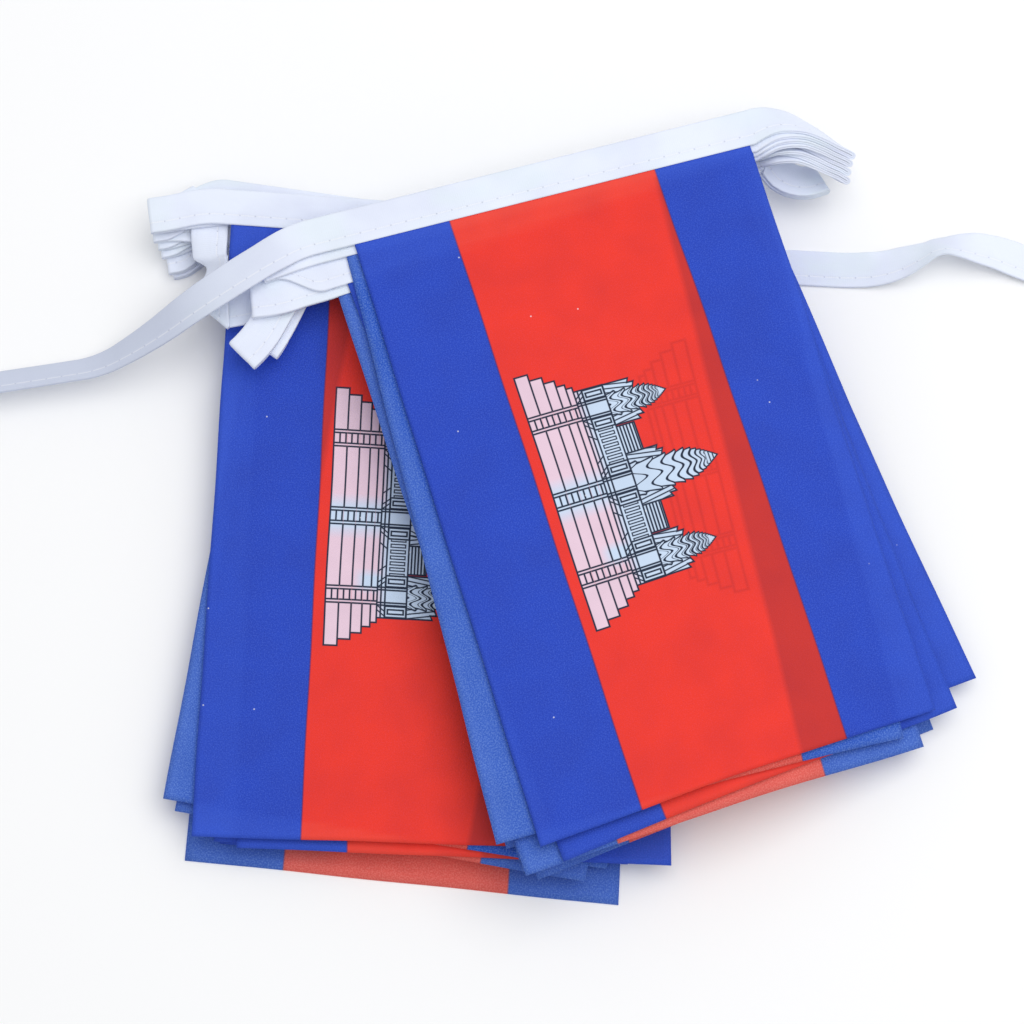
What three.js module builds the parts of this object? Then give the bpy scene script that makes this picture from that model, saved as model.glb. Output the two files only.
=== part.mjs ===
import * as THREE from 'three';

// A string of twenty small printed flags sewn to one white tape and folded flag on flag into two
// fanned piles, the right one lying across the left one. Millimetres, +Z up, flag heads towards +Y.

// Cloth
const SHEET = 1.06; // upright thickness of one layer
const GAP = 0.32; // air between one layer and the next
const PITCH = SHEET + GAP;
const ONE_PLACE = 0.001; // corners of a sheet that are closer than this are one corner

// Tape
const TAPE_WIDE = 12.5;
const HALF_WIDE = TAPE_WIDE / 2;
const HEAD_GAP = 0.3; // between a flag's head and the tape's sewn edge
const LONGEST_STEP = 2.8; // between two cross-sections of the tape in a bend
const HAIRPIN_ANGLES = [30, 90, 150];

// Each pile has its own corner, turn, first and last cross-line of its tape, and lattice of folds.
const PILES = {
  left: {
    x: -95.7, y: 96.4, turn: -6, tapeFrom: -4, tapeTo: 158,
    across: [-60, 230], down: [-40, 10, 16, 22, 28, 34, 40, 46, 250],
  },
  right: {
    x: -52.8, y: 84.7, turn: 16.5, tapeFrom: -14, tapeTo: 140,
    across: evenly(-28, 168, 14), down: [-24, ...evenly(20, 240, 20)],
  },
};
const FLAGS_PER_PILE = 10;

// Left pile: the head of a flag is lifted by the tape layers that run under it.
const HEAD_LIFT = { from: 10, reach: 36 };

// Right pile: it lies on the left pile and sinks beyond the left pile's flags and tape ends.
const RIGHT_BASE = 13 * PITCH;
const LEFT_FLAGS_END = { x: 60, y: 110 };
const LEFT_TAPE_END = { x: 76, y: 89, halfWide: 17 };
const SINK = { margin: 8, reach: 80 };
const SWELLS = [
  { x: 20, y: 20, reach: 42, rise: 1.3 },
  { x: -22, y: -28, reach: 36, rise: 0.9 },
  { x: 70, y: 62, reach: 34, rise: 1.1 },
  { x: 66, y: -46, reach: 38, rise: 1.4 },
];

// One row for each flag, top flag first: its upper left corner, the heading and length of its head,
// and the lean (from upright) and length of its two long edges. Odd flags lie print side up.
const FLAGS = {
  right: [
    { x: -52.8, y: 84.7, top: 14.8, wide: 138, left: 16.9, leftLong: 212.9, right: 17.3, rightLong: 199.6 },
    { x: -55.5, y: 80.9, top: 15.1, wide: 142.1, left: 14.2, leftLong: 205.2, right: 13.5, rightLong: 203.7 },
    { x: -55.1, y: 71.8, top: 18.2, wide: 140.8, left: 20.2, leftLong: 207.8, right: 20.4, rightLong: 197.5 },
    { x: -58.2, y: 67.7, top: 18.9, wide: 141.7, left: 17.8, leftLong: 205.1, right: 17.1, rightLong: 205 },
    { x: -54.7, y: 80.5, top: 16.7, wide: 136.8, left: 22, leftLong: 204.8, right: 23.7, rightLong: 195 },
    { x: -56, y: 76.1, top: 16.3, wide: 141, left: 16.4, leftLong: 206.6, right: 15.6, rightLong: 202.4 },
    { x: -50.4, y: 79.4, top: 16.6, wide: 137.5, left: 18.1, leftLong: 205.6, right: 18.8, rightLong: 194.1 },
    { x: -56.5, y: 76.1, top: 15.7, wide: 142.3, left: 15.7, leftLong: 201.8, right: 14.7, rightLong: 198.7 },
    { x: -52.9, y: 80.1, top: 14.9, wide: 139.5, left: 18.7, leftLong: 209.6, right: 19.4, rightLong: 193.6 },
    { x: -56.9, y: 72.1, top: 17.1, wide: 141.3, left: 18.1, leftLong: 210.2, right: 18.3, rightLong: 198.6 },
  ],
  left: [
    { x: -95.7, y: 96.4, top: -4.3, wide: 138, left: -2.6, leftLong: 209.3, right: -3.1, rightLong: 203.4 },
    { x: -82.2, y: 99, top: -8.5, wide: 140, left: -9.3, leftLong: 201.7, right: -10.4, rightLong: 204.3 },
    { x: -85.5, y: 90.3, top: -2.5, wide: 138.9, left: -1.4, leftLong: 206.4, right: -0.3, rightLong: 206.3 },
    { x: -78.4, y: 96.2, top: -8.5, wide: 140, left: -9.3, leftLong: 202.4, right: -10.1, rightLong: 205.7 },
    { x: -89.8, y: 93.8, top: -3.6, wide: 139.4, left: -2.3, leftLong: 207.5, right: -3.1, rightLong: 206.6 },
    { x: -85.8, y: 94.2, top: -6.5, wide: 138.7, left: -5.2, leftLong: 200.8, right: -5.9, rightLong: 202 },
    { x: -88.3, y: 92.5, top: -3, wide: 139.2, left: -1.7, leftLong: 206.7, right: -2.4, rightLong: 205.6 },
    { x: -87.4, y: 93.9, top: -5.6, wide: 139.2, left: -4.8, leftLong: 202, right: -5.6, rightLong: 203 },
    { x: -89.5, y: 92.7, top: -3, wide: 139.5, left: -2, leftLong: 206.2, right: -2.7, rightLong: 205.1 },
    { x: -91.3, y: 91.4, top: -6.4, wide: 139.6, left: -4.6, leftLong: 210.9, right: -3.4, rightLong: 210 },
  ],
};
const TAPE_LAYERS_UNDER_HEAD = { left: [3, 1, 1, 1, 1, 1, 1, 1, 1, 1], right: Array(FLAGS_PER_PILE).fill(0) };

// Ways the tape takes beyond the flags: length, turn, and the climb and roll reached, row by row.
const WAYS = {
  rightStack: [
    { go: 8, turn: -15, climb: -8, roll: 30 },
    { go: 10, turn: -18, climb: -22, roll: 55 },
    { go: 10, turn: -8, climb: -26, roll: 65 },
    { go: 6, turn: -2, climb: -18, roll: 72 },
  ],
  rightLowest: [
    { go: 3, turn: -4, climb: -24, roll: 0 },
    { go: 8, turn: -50, climb: -30, roll: 2 },
    { go: 5, turn: 0, climb: -34, roll: 10 },
    { go: 9, turn: 58, climb: -14, roll: 20 },
  ],
  upperLoop: [{ go: 15, turn: 3, climb: 0, roll: 0 }],
  wideLoop: [
    { go: 11, turn: 8, climb: 0, roll: 0 },
    { go: 10, turn: -20, climb: 0, roll: 0 },
  ],
  longLoop: [
    { go: 12, turn: 36, climb: 0, roll: 0 },
    { go: 16, turn: 4, climb: 0, roll: 0 },
    { go: 11, turn: -12, climb: 0, roll: 0 },
  ],
  shortLoop: [
    { go: 9, turn: 44, climb: 0, roll: 0 },
    { go: 14, turn: 0, climb: 0, roll: 0 },
    { go: 10, turn: -4, climb: 0, roll: 0 },
  ],
  leftStack: [
    { go: 10, turn: 10, climb: 0, roll: 0 },
    { go: 10, turn: 4, climb: 0, roll: 0 },
  ],
  leftLowest: [
    { go: 8, turn: 25, climb: 0, roll: 0 },
    { go: 9, turn: -10, climb: 0, roll: 0 },
  ],
  hiddenLoops: [{ go: 11, turn: 0, climb: 0, roll: 0 }],
};

// Loops between one flag and the next: the way taken, the level it is measured from (null for the
// loop's own middle), the sideways place reached at its end and the length it reaches further.
const LOOPS = {
  right: {
    right: {
      1: { way: 'rightStack', from: 5.5, fan: 1.2, reach: 1 },
      3: { way: 'rightStack', from: 5.5, fan: 0.2, reach: 1.4 },
      5: { way: 'rightStack', from: 5.5, fan: 0, reach: 2.4 },
      7: { way: 'rightStack', from: 5.5, fan: -1.2, reach: 3.4 },
      9: { way: 'rightLowest', from: null, fan: -6, reach: 1 },
    },
    left: {
      2: { way: 'upperLoop', from: null, fan: 3.5, reach: 2.5 },
      4: { way: 'wideLoop', from: null, fan: -7.4, reach: 1 },
      6: { way: 'longLoop', from: null, fan: -4.1, reach: 1 },
      8: { way: 'shortLoop', from: null, fan: -2.4, reach: 1 },
    },
  },
  left: {
    right: {
      1: { way: 'hiddenLoops', from: null, fan: -0.5, reach: 1.5 },
      3: { way: 'hiddenLoops', from: null, fan: -0.8, reach: 0.4 },
      5: { way: 'hiddenLoops', from: null, fan: 0.6, reach: 1.1 },
      7: { way: 'hiddenLoops', from: null, fan: -0.2, reach: 0.6 },
      9: { way: 'hiddenLoops', from: null, fan: 0.4, reach: 0.8 },
    },
    left: {
      2: { way: 'leftStack', from: null, fan: 2.6, reach: 2.2 },
      4: { way: 'leftStack', from: null, fan: 0.6, reach: 1 },
      6: { way: 'leftStack', from: null, fan: -1.6, reach: 0.4 },
      8: { way: 'leftLowest', from: null, fan: -4, reach: 2 },
      10: { way: 'leftLowest', from: null, fan: -5, reach: 0.6 },
    },
  },
};

// Loose ends
const LEFT_END = [
  { go: 9, turn: 14, climb: 3, roll: 0 },
  { go: 9, turn: 2, climb: 0, roll: 8 },
  { go: 16, turn: -1, climb: -10, roll: 8 },
  { go: 20, turn: -3, climb: -31, roll: 16 },
  { go: 26, turn: -6, climb: -24, roll: 34 },
  { go: 14, turn: -14, climb: -3, roll: 40 },
  { go: 48, turn: 0, climb: 0, roll: 38 },
];
const RIGHT_END_START = { x: 98.9, y: 86.6 };
const RIGHT_END = [
  { go: 12, turn: 0, climb: 0, roll: 0 },
  { go: 12, turn: 5, climb: 8, roll: 0 },
  { go: 12, turn: 16, climb: 16, roll: 20 },
  { go: 10, turn: 8, climb: 10, roll: 48 },
  { go: 6, turn: -24, climb: 0, roll: 46 },
  { go: 11, turn: -8, climb: -14, roll: 16 },
  { go: 12, turn: -12, climb: -10, roll: 4 },
  { go: 26, turn: -4, climb: 1, roll: 0 },
];
const RIGHT_END_SIDE_START = 1.5;

// The run of tape that joins the two piles: out from under the right pile, folded over at a slant,
// up beside the left pile, folded over again and into the left pile under its top layer.
const JOIN_OUT = [
  { go: 12, turn: 8, climb: 0, roll: 0 },
  { go: 12, turn: -6, climb: 0, roll: 0 },
  { go: 6, turn: -9, climb: 0, roll: 0 },
];
const FOLD_REACH = 8.5; // from a square cross-section to the middle of a slanting fold
const LOWER_FOLD = { newHeading: 88 };
const JOIN_BESIDE = { x: -100.4, y: 82.5, z: 16.6, heading: 90, roll: 54 };
const JOIN_ROLLS = { leaving: 32, entering: 20 };
const UPPER_FOLD = { x: -103.5, y: 104, level: 10, heading: 91, newHeading: 176 };
const STACK_AFTER_FOLD = 14; // length along the stack at which the folded tape has joined it
const TOP_LOOP = { fan: 4.5, reach: 2.6 };

const COLOURS = { printUp: '#cf3630', printDown: '#c8605c', tape: '#eef0f4' };

function evenly(from, to, step) {
  return Array.from({ length: Math.round((to - from) / step) + 1 }, (_, i) => from + i * step);
}

function ease(share) {
  const t = Math.min(1, Math.max(0, share));
  return t * t * (3 - 2 * t);
}

function mix(a, b, share) {
  return a + (b - a) * share;
}

function vector(x, y, z) {
  return new THREE.Vector3(x, y, z);
}

function flatHeading(degrees) {
  const angle = THREE.MathUtils.degToRad(degrees);
  return vector(Math.cos(angle), Math.sin(angle), 0);
}

// A pile's own directions: along the flag heads, and from the head down to the foot.
function axesOf(pile) {
  const along = flatHeading(pile.turn);
  return { along, down: vector(along.y, -along.x, 0) };
}

function place(pile, across, down) {
  const axes = axesOf(pile);
  return vector(pile.x, pile.y, 0).addScaledVector(axes.along, across).addScaledVector(axes.down, down);
}

function placeWithin(pile, point) {
  const axes = axesOf(pile);
  const away = vector(point.x - pile.x, point.y - pile.y, 0);
  return { across: away.dot(axes.along), down: away.dot(axes.down) };
}

// Height of the right pile's underside above the floor.
function rightBase(point) {
  const beyondFlags = Math.hypot(
    Math.max(0, point.x - LEFT_FLAGS_END.x),
    Math.max(0, point.y - LEFT_FLAGS_END.y),
  );
  const beyondTape = Math.hypot(
    Math.max(0, point.x - LEFT_TAPE_END.x),
    Math.max(0, Math.abs(point.y - LEFT_TAPE_END.y) - LEFT_TAPE_END.halfWide),
  );
  const beyond = Math.min(beyondFlags, beyondTape) - SINK.margin;
  const swell = SWELLS.reduce((sum, row) => {
    const far = Math.hypot(point.x - row.x, point.y - row.y) / row.reach;
    return sum + row.rise * (1 - ease(far));
  }, 0);
  return RIGHT_BASE * (1 - ease(beyond / SINK.reach)) + swell;
}

// Height of a pile's fold lattice at one of its crossings; the tape's strip is level across.
function latticeHeight(name, across, down, layersUnder) {
  const pile = PILES[name];
  if (name === 'left') {
    return layersUnder * PITCH * (1 - ease((down - HEAD_LIFT.from) / HEAD_LIFT.reach));
  }
  return rightBase(place(pile, across, Math.max(down, pile.down[1])));
}

// The part of a flat outline that lies inside a triangle.
function clipTo(triangle, outline) {
  return triangle.reduce((kept, from, i) => {
    const to = triangle[(i + 1) % triangle.length];
    const sideOf = (p) => (to.x - from.x) * (p.y - from.y) - (to.y - from.y) * (p.x - from.x);
    return kept.flatMap((point, j) => {
      const next = kept[(j + 1) % kept.length];
      const here = sideOf(point);
      const there = sideOf(next);
      const crossing = here * there < 0 ? [point.clone().lerp(next, here / (here - there))] : [];
      return here >= 0 ? [point, ...crossing] : crossing;
    });
  }, outline);
}

function heightOn(triangle, point) {
  const weights = new THREE.Vector3();
  const flat = triangle.map((corner) => vector(corner.x, corner.y, 0));
  THREE.Triangle.getBarycoord(vector(point.x, point.y, 0), ...flat, weights);
  return weights.x * triangle[0].z + weights.y * triangle[1].z + weights.z * triangle[2].z;
}

// Every triangle of a pile's fold lattice, seen from above anticlockwise.
function latticeTriangles(name, layersUnder) {
  const pile = PILES[name];
  const corner = (i, j) => {
    const point = place(pile, pile.across[i], pile.down[j]);
    point.z = latticeHeight(name, pile.across[i], pile.down[j], layersUnder);
    return point;
  };
  const triangles = [];
  for (let i = 0; i + 1 < pile.across.length; i += 1) {
    for (let j = 0; j + 1 < pile.down.length; j += 1) {
      const [high, highNext] = [corner(i, j), corner(i + 1, j)];
      const [low, lowNext] = [corner(i, j + 1), corner(i + 1, j + 1)];
      triangles.push([low, lowNext, highNext], [low, highNext, high]);
    }
  }
  return triangles;
}

// A flat cut sheet laid on a pile's fold lattice, with its thickness and its closed rim.
function drape(outline, name, level, layersUnder) {
  const corners = [];
  const numbers = new Map();
  const faces = [];
  const numberOf = (point, height) => {
    const key = `${Math.round(point.x / ONE_PLACE)},${Math.round(point.y / ONE_PLACE)}`;
    if (!numbers.has(key)) {
      numbers.set(key, corners.length);
      corners.push(vector(point.x, point.y, height + level * PITCH));
    }
    return numbers.get(key);
  };
  latticeTriangles(name, layersUnder).forEach((triangle) => {
    const piece = clipTo(triangle, outline).map((point) => numberOf(point, heightOn(triangle, point)));
    const ring = piece.filter((number, i) => number !== piece[(i + 1) % piece.length]);
    for (let i = 1; i + 1 < ring.length; i += 1) faces.push([ring[0], ring[i], ring[i + 1]]);
  });
  return thicken(corners, faces);
}

function thicken(corners, faces) {
  const count = corners.length;
  const positions = [
    ...corners.flatMap((corner) => [corner.x, corner.y, corner.z]),
    ...corners.flatMap((corner) => [corner.x, corner.y, corner.z + SHEET]),
  ];
  const index = [];
  const edges = new Set();
  faces.forEach(([a, b, c]) => {
    index.push(a + count, b + count, c + count, c, b, a);
    [[a, b], [b, c], [c, a]].forEach(([from, to]) => edges.add(`${from},${to}`));
  });
  edges.forEach((edge) => {
    const [from, to] = edge.split(',').map(Number);
    if (edges.has(`${to},${from}`)) return;
    index.push(from, to, to + count, from, to + count, from + count);
  });
  return solid(positions, index);
}

function solid(positions, index) {
  const geometry = new THREE.BufferGeometry();
  geometry.setAttribute('position', new THREE.Float32BufferAttribute(positions, 3));
  geometry.setIndex(index);
  const faceted = geometry.toNonIndexed();
  faceted.computeVertexNormals();
  return faceted;
}

// The four corners of a flag from its row.
function flagOutline(row) {
  const footFrom = (corner, lean, long) => {
    const downwards = flatHeading(lean - 90);
    return corner.clone().addScaledVector(downwards, long);
  };
  const headLeft = vector(row.x, row.y, 0);
  const headRight = headLeft.clone().addScaledVector(flatHeading(row.top), row.wide);
  const footLeft = footFrom(headLeft, row.left, row.leftLong);
  const footRight = footFrom(headRight, row.right, row.rightLong);
  return [headLeft, footLeft, footRight, headRight];
}

function levelOf(name, number) {
  return FLAGS_PER_PILE - number;
}

function tapeLevel(name, number) {
  if (number > FLAGS_PER_PILE) return 0;
  return levelOf(name, number) + TAPE_LAYERS_UNDER_HEAD[name][number - 1];
}

// Sideways place of the tape's middle beside a flag's head, measured from the pile's own corner line.
function tapeSide(name, number, across) {
  const pile = PILES[name];
  const row = FLAGS[name][number - 1];
  const corner = placeWithin(pile, row);
  const slope = Math.tan(THREE.MathUtils.degToRad(row.top - pile.turn));
  return slope * (across - corner.across) - corner.down + HEAD_GAP + HALF_WIDE;
}

function stripHeight(name, across) {
  return name === 'left' ? 0 : latticeHeight(name, across, 0, 0);
}

// A frame of the tape: its middle, its direction, the side away from the flags and the upper side.
function frameAt(at, heading, climb, roll, sense) {
  const flat = flatHeading(heading);
  const slope = THREE.MathUtils.degToRad(climb);
  const turn = THREE.MathUtils.degToRad(roll);
  const ahead = flat.clone().multiplyScalar(Math.cos(slope)).setZ(Math.sin(slope));
  const level = vector(-flat.y, flat.x, 0).multiplyScalar(sense);
  const above = vector(0, 0, 1).addScaledVector(ahead, -ahead.z).normalize();
  return {
    at: at.clone(),
    ahead,
    side: level.clone().multiplyScalar(Math.cos(turn)).addScaledVector(above, -Math.sin(turn)),
    up: above.clone().multiplyScalar(Math.cos(turn)).addScaledVector(level, Math.sin(turn)),
  };
}

function walk(start, heading, sense, rows) {
  const frames = [{ ...frameAt(start, heading, 0, 0, sense), gone: 0 }];
  const at = start.clone();
  let [turned, climb, roll, gone] = [heading, 0, 0, 0];
  rows.forEach((row) => {
    const steps = Math.ceil(row.go / LONGEST_STEP);
    for (let i = 1; i <= steps; i += 1) {
      const middle = (i - 0.5) / steps;
      const halfway = frameAt(at, turned + row.turn * middle, mix(climb, row.climb, middle), 0, sense);
      at.addScaledVector(halfway.ahead, row.go / steps);
      gone += row.go / steps;
      const share = i / steps;
      const now = [turned + row.turn * share, mix(climb, row.climb, share), mix(roll, row.roll, share)];
      frames.push({ ...frameAt(at, ...now, sense), gone });
    }
    turned += row.turn;
    climb = row.climb;
    roll = row.roll;
  });
  return frames;
}

// A cross-section of the tape: its middle, half its width as a vector and the face it started as.
// Layers that run back are split along the same diagonal as those that run out, so they stay apart.
function section(frame, side, lift, facing, back = false) {
  const at = frame.at.clone().addScaledVector(frame.side, side).addScaledVector(frame.up, lift);
  return {
    at,
    half: frame.side.clone().multiplyScalar(HALF_WIDE),
    face: frame.up.clone().multiplyScalar(facing),
    back,
  };
}

// The tape beside a flag's head, from left to right, with a cross-section on each fold line.
function pageSections(name, number) {
  const pile = PILES[name];
  const odd = number % 2 === 1;
  const inner = pile.across.filter((across) => across > pile.tapeFrom && across < pile.tapeTo);
  const sections = [pile.tapeFrom, ...inner, pile.tapeTo].map((across) => {
    const at = place(pile, across, -tapeSide(name, number, across));
    at.z = stripHeight(name, across) + tapeLevel(name, number) * PITCH + SHEET / 2;
    return section(frameAt(at, pile.turn, 0, 0, 1), 0, 0, odd ? 1 : -1);
  });
  return odd ? sections : sections.reverse();
}

function pileEnd(name, end, level) {
  const pile = PILES[name];
  const across = end === 'right' ? pile.tapeTo : pile.tapeFrom;
  const at = place(pile, across, 0);
  at.z = stripHeight(name, across) + level * PITCH + SHEET / 2;
  const outwards = end === 'right';
  return { at, across, heading: outwards ? pile.turn : pile.turn + 180, sense: outwards ? 1 : -1 };
}

// The middle of the tape where it leaves a flag's corner.
function tapeEnd(name, end, number) {
  const start = pileEnd(name, end, tapeLevel(name, number));
  const away = axesOf(PILES[name]).down.multiplyScalar(-tapeSide(name, number, start.across));
  return { ...start, at: start.at.add(away) };
}

function hairpin(frame, side, lifts, sense) {
  const middle = (lifts[0] + lifts[1]) / 2;
  const radius = (lifts[0] - lifts[1]) / 2;
  return HAIRPIN_ANGLES.map((degrees) => {
    const angle = THREE.MathUtils.degToRad(degrees);
    const bend = section(frame, side, middle + radius * Math.cos(angle), sense);
    bend.at.addScaledVector(frame.ahead, Math.abs(radius) * Math.sin(angle));
    bend.face = frame.up.clone().multiplyScalar(Math.cos(angle))
      .addScaledVector(frame.ahead, Math.sign(radius) * Math.sin(angle)).multiplyScalar(sense);
    return bend;
  });
}

// The loop from one layer of tape to the next: out, round a hairpin and back.
function loopSections(name, end, number) {
  const row = LOOPS[name][end][number];
  const levels = [tapeLevel(name, number), tapeLevel(name, number + 1)];
  const spine = row.from ?? (levels[0] + levels[1]) / 2;
  const start = pileEnd(name, end, spine);
  const frames = walk(start.at, start.heading, start.sense, WAYS[row.way]);
  const last = frames[frames.length - 1];
  const tip = { ...last, at: last.at.clone().addScaledVector(last.ahead, row.reach) };
  const lifts = levels.map((level) => (level - spine) * PITCH);
  const sides = [number, number + 1].map((each) => (
    each > FLAGS_PER_PILE ? RIGHT_END_SIDE_START : tapeSide(name, each, start.across)
  ));
  const strand = (which, facing) => [...frames.slice(1), tip].map((frame) => {
    const side = mix(sides[which], row.fan, ease(frame.gone / last.gone));
    return section(frame, side, lifts[which], facing, which === 1);
  });
  return [
    ...strand(0, start.sense),
    ...hairpin(tip, row.fan, lifts, start.sense),
    ...strand(1, -start.sense).reverse(),
  ];
}

// A slanting fold: the tape turns over about a line that halves its old and new headings.
function slantFold(at, face, heading, newHeading) {
  const line = flatHeading((heading + newHeading) / 2);
  const ahead = flatHeading(heading);
  const across = face.clone().cross(ahead);
  const half = line.clone().multiplyScalar(HALF_WIDE / line.dot(across));
  const forth = ahead.clone().addScaledVector(line, -ahead.dot(line)).normalize();
  return [0, ...HAIRPIN_ANGLES, 180].map((degrees) => {
    const angle = THREE.MathUtils.degToRad(degrees);
    const middle = at.clone().addScaledVector(forth, (PITCH / 2) * Math.sin(angle));
    middle.z += (PITCH / 2) * (1 - Math.cos(angle));
    const turned = face.clone().multiplyScalar(Math.cos(angle))
      .addScaledVector(forth, -Math.sign(face.z) * Math.sin(angle));
    return { at: middle, half: half.clone(), face: turned, back: false };
  });
}

function squareSection(at, heading, faceUp, roll) {
  const sense = faceUp ? 1 : -1;
  return section(frameAt(at, heading, 0, roll * sense, sense), 0, 0, sense);
}

// From the right pile's lowest layer to the left pile's top layer.
function joinSections() {
  const start = tapeEnd('right', 'left', FLAGS_PER_PILE);
  const frames = walk(start.at, start.heading, start.sense, JOIN_OUT);
  const out = frames.slice(1).map((frame) => section(frame, 0, 0, start.sense));
  const heading = start.heading + JOIN_OUT.reduce((sum, row) => sum + row.turn, 0);
  const lowFold = out[out.length - 1].at.clone().addScaledVector(flatHeading(heading), FOLD_REACH);
  const lower = slantFold(lowFold, vector(0, 0, -1), heading, LOWER_FOLD.newHeading);
  const lowEnd = lower[lower.length - 1].at;
  const leaving = lowEnd.clone().addScaledVector(flatHeading(LOWER_FOLD.newHeading), FOLD_REACH);
  const highFold = vector(UPPER_FOLD.x, UPPER_FOLD.y, UPPER_FOLD.level * PITCH + SHEET / 2);
  const entering = highFold.clone().addScaledVector(flatHeading(UPPER_FOLD.heading), -2 * FOLD_REACH);
  const straight = highFold.clone().addScaledVector(flatHeading(UPPER_FOLD.heading), -FOLD_REACH);
  const beside = vector(JOIN_BESIDE.x, JOIN_BESIDE.y, JOIN_BESIDE.z);
  return [
    ...out,
    ...lower,
    squareSection(leaving, LOWER_FOLD.newHeading, true, JOIN_ROLLS.leaving),
    squareSection(beside, JOIN_BESIDE.heading, true, JOIN_BESIDE.roll),
    squareSection(entering, UPPER_FOLD.heading, true, JOIN_ROLLS.entering),
    squareSection(straight, UPPER_FOLD.heading, true, 0),
    ...slantFold(highFold, vector(0, 0, 1), UPPER_FOLD.heading, UPPER_FOLD.newHeading),
    ...topLoop(),
  ];
}

function topLoop() {
  const level = tapeLevel('left', 1);
  const start = pileEnd('left', 'left', level);
  const side = tapeSide('left', 1, start.across);
  const frames = walk(start.at, start.heading, start.sense, WAYS.leftStack);
  const last = frames[frames.length - 1];
  const tip = { ...last, at: last.at.clone().addScaledVector(last.ahead, TOP_LOOP.reach) };
  const sideAt = (frame) => mix(side, TOP_LOOP.fan, ease(frame.gone / last.gone));
  const low = frames.filter((frame) => frame.gone >= STACK_AFTER_FOLD)
    .map((frame) => section(frame, sideAt(frame), -PITCH, -1));
  const high = frames.slice(1).map((frame) => section(frame, sideAt(frame), 0, 1)).reverse();
  return [
    ...low,
    section(tip, TOP_LOOP.fan, -PITCH, -1),
    ...hairpin(tip, TOP_LOOP.fan, [-PITCH, 0], -1),
    section(tip, TOP_LOOP.fan, 0, 1),
    ...high,
  ];
}

function leftEndSections() {
  const start = tapeEnd('right', 'left', 1);
  const frames = walk(start.at, start.heading, start.sense, LEFT_END);
  return frames.slice(1).map((frame) => section(frame, 0, 0, 1)).reverse();
}

function rightEndSections() {
  const start = pileEnd('left', 'left', 0);
  const first = place(PILES.left, start.across, -RIGHT_END_SIDE_START);
  const last = vector(RIGHT_END_START.x, RIGHT_END_START.y, 0);
  const heading = THREE.MathUtils.radToDeg(Math.atan2(last.y - first.y, last.x - first.x));
  first.z = SHEET / 2;
  last.z = SHEET / 2;
  const frames = walk(last, heading, 1, RIGHT_END);
  return [
    section(frameAt(first, PILES.left.turn, 0, 0, 1), 0, 0, 1),
    ...frames.map((frame) => section(frame, 0, 0, 1)),
  ];
}

// Joins the cross-sections into one closed strip of cloth.
function strip(sections) {
  const positions = [];
  const index = [];
  sections.forEach(({ at, half, face }) => {
    [[1, 1], [-1, 1], [-1, -1], [1, -1]].forEach(([side, above]) => {
      const corner = at.clone().addScaledVector(half, side).addScaledVector(face, (above * SHEET) / 2);
      positions.push(corner.x, corner.y, corner.z);
    });
  });
  for (let i = 0; i + 1 < sections.length; i += 1) {
    for (let k = 0; k < 4; k += 1) {
      const [a, b] = [i * 4 + k, i * 4 + ((k + 1) % 4)];
      if ((k === 2) !== sections[i].back) index.push(a, b, a + 4, b, b + 4, a + 4);
      else index.push(a, b, b + 4, a, b + 4, a + 4);
    }
  }
  const end = (sections.length - 1) * 4;
  index.push(0, 3, 2, 0, 2, 1, end, end + 1, end + 2, end, end + 2, end + 3);
  return solid(positions, index);
}

function pileSections(name) {
  const sections = [];
  for (let number = 1; number <= FLAGS_PER_PILE; number += 1) {
    sections.push(...pageSections(name, number));
    const end = number % 2 === 1 ? 'right' : 'left';
    if (LOOPS[name][end][number]) sections.push(...loopSections(name, end, number));
  }
  return sections;
}

function tapeGeometry() {
  return strip([
    ...leftEndSections(),
    ...pileSections('right'),
    ...joinSections(),
    ...pileSections('left'),
    ...rightEndSections(),
  ]);
}

function mesh(name, geometry, colour) {
  const material = new THREE.MeshStandardMaterial({ color: colour, roughness: 0.85, metalness: 0 });
  const made = new THREE.Mesh(geometry, material);
  made.name = name;
  return made;
}

const bunting = new THREE.Group();
bunting.name = 'flag_bunting';
Object.keys(PILES).forEach((name) => {
  FLAGS[name].forEach((row, i) => {
    const number = i + 1;
    const level = levelOf(name, number);
    const geometry = drape(flagOutline(row), name, level, TAPE_LAYERS_UNDER_HEAD[name][i]);
    const label = `flag_${name}_${String(number).padStart(2, '0')}`;
    bunting.add(mesh(label, geometry, number % 2 === 1 ? COLOURS.printUp : COLOURS.printDown));
  });
});
bunting.add(mesh('binding_tape', tapeGeometry(), COLOURS.tape));

// The origin is under the middle of the whole thing, on the floor.
const box = new THREE.Box3().setFromObject(bunting);
const middle = box.getCenter(new THREE.Vector3());
bunting.children.forEach((child) => child.geometry.translate(-middle.x, -middle.y, -box.min.z));

export default bunting;
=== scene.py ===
# %% [markdown]
# # A string of flag bunting, folded flat
# The object is twenty small printed flags sewn to one white tape. It has been folded flag on flag, first
# into a flat pile on the left and then into a second pile that lies across it. This lesson dresses
# the plain solids of that string: thin cloth with its print, and a folded tape with its stitches.
#
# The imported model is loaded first, as a fixed frame. It could also be drawn again from the photograph,
# but then nothing would say where the floor, the origin and the real sizes are.

# %% The fixed frame
from functools import reduce

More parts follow.
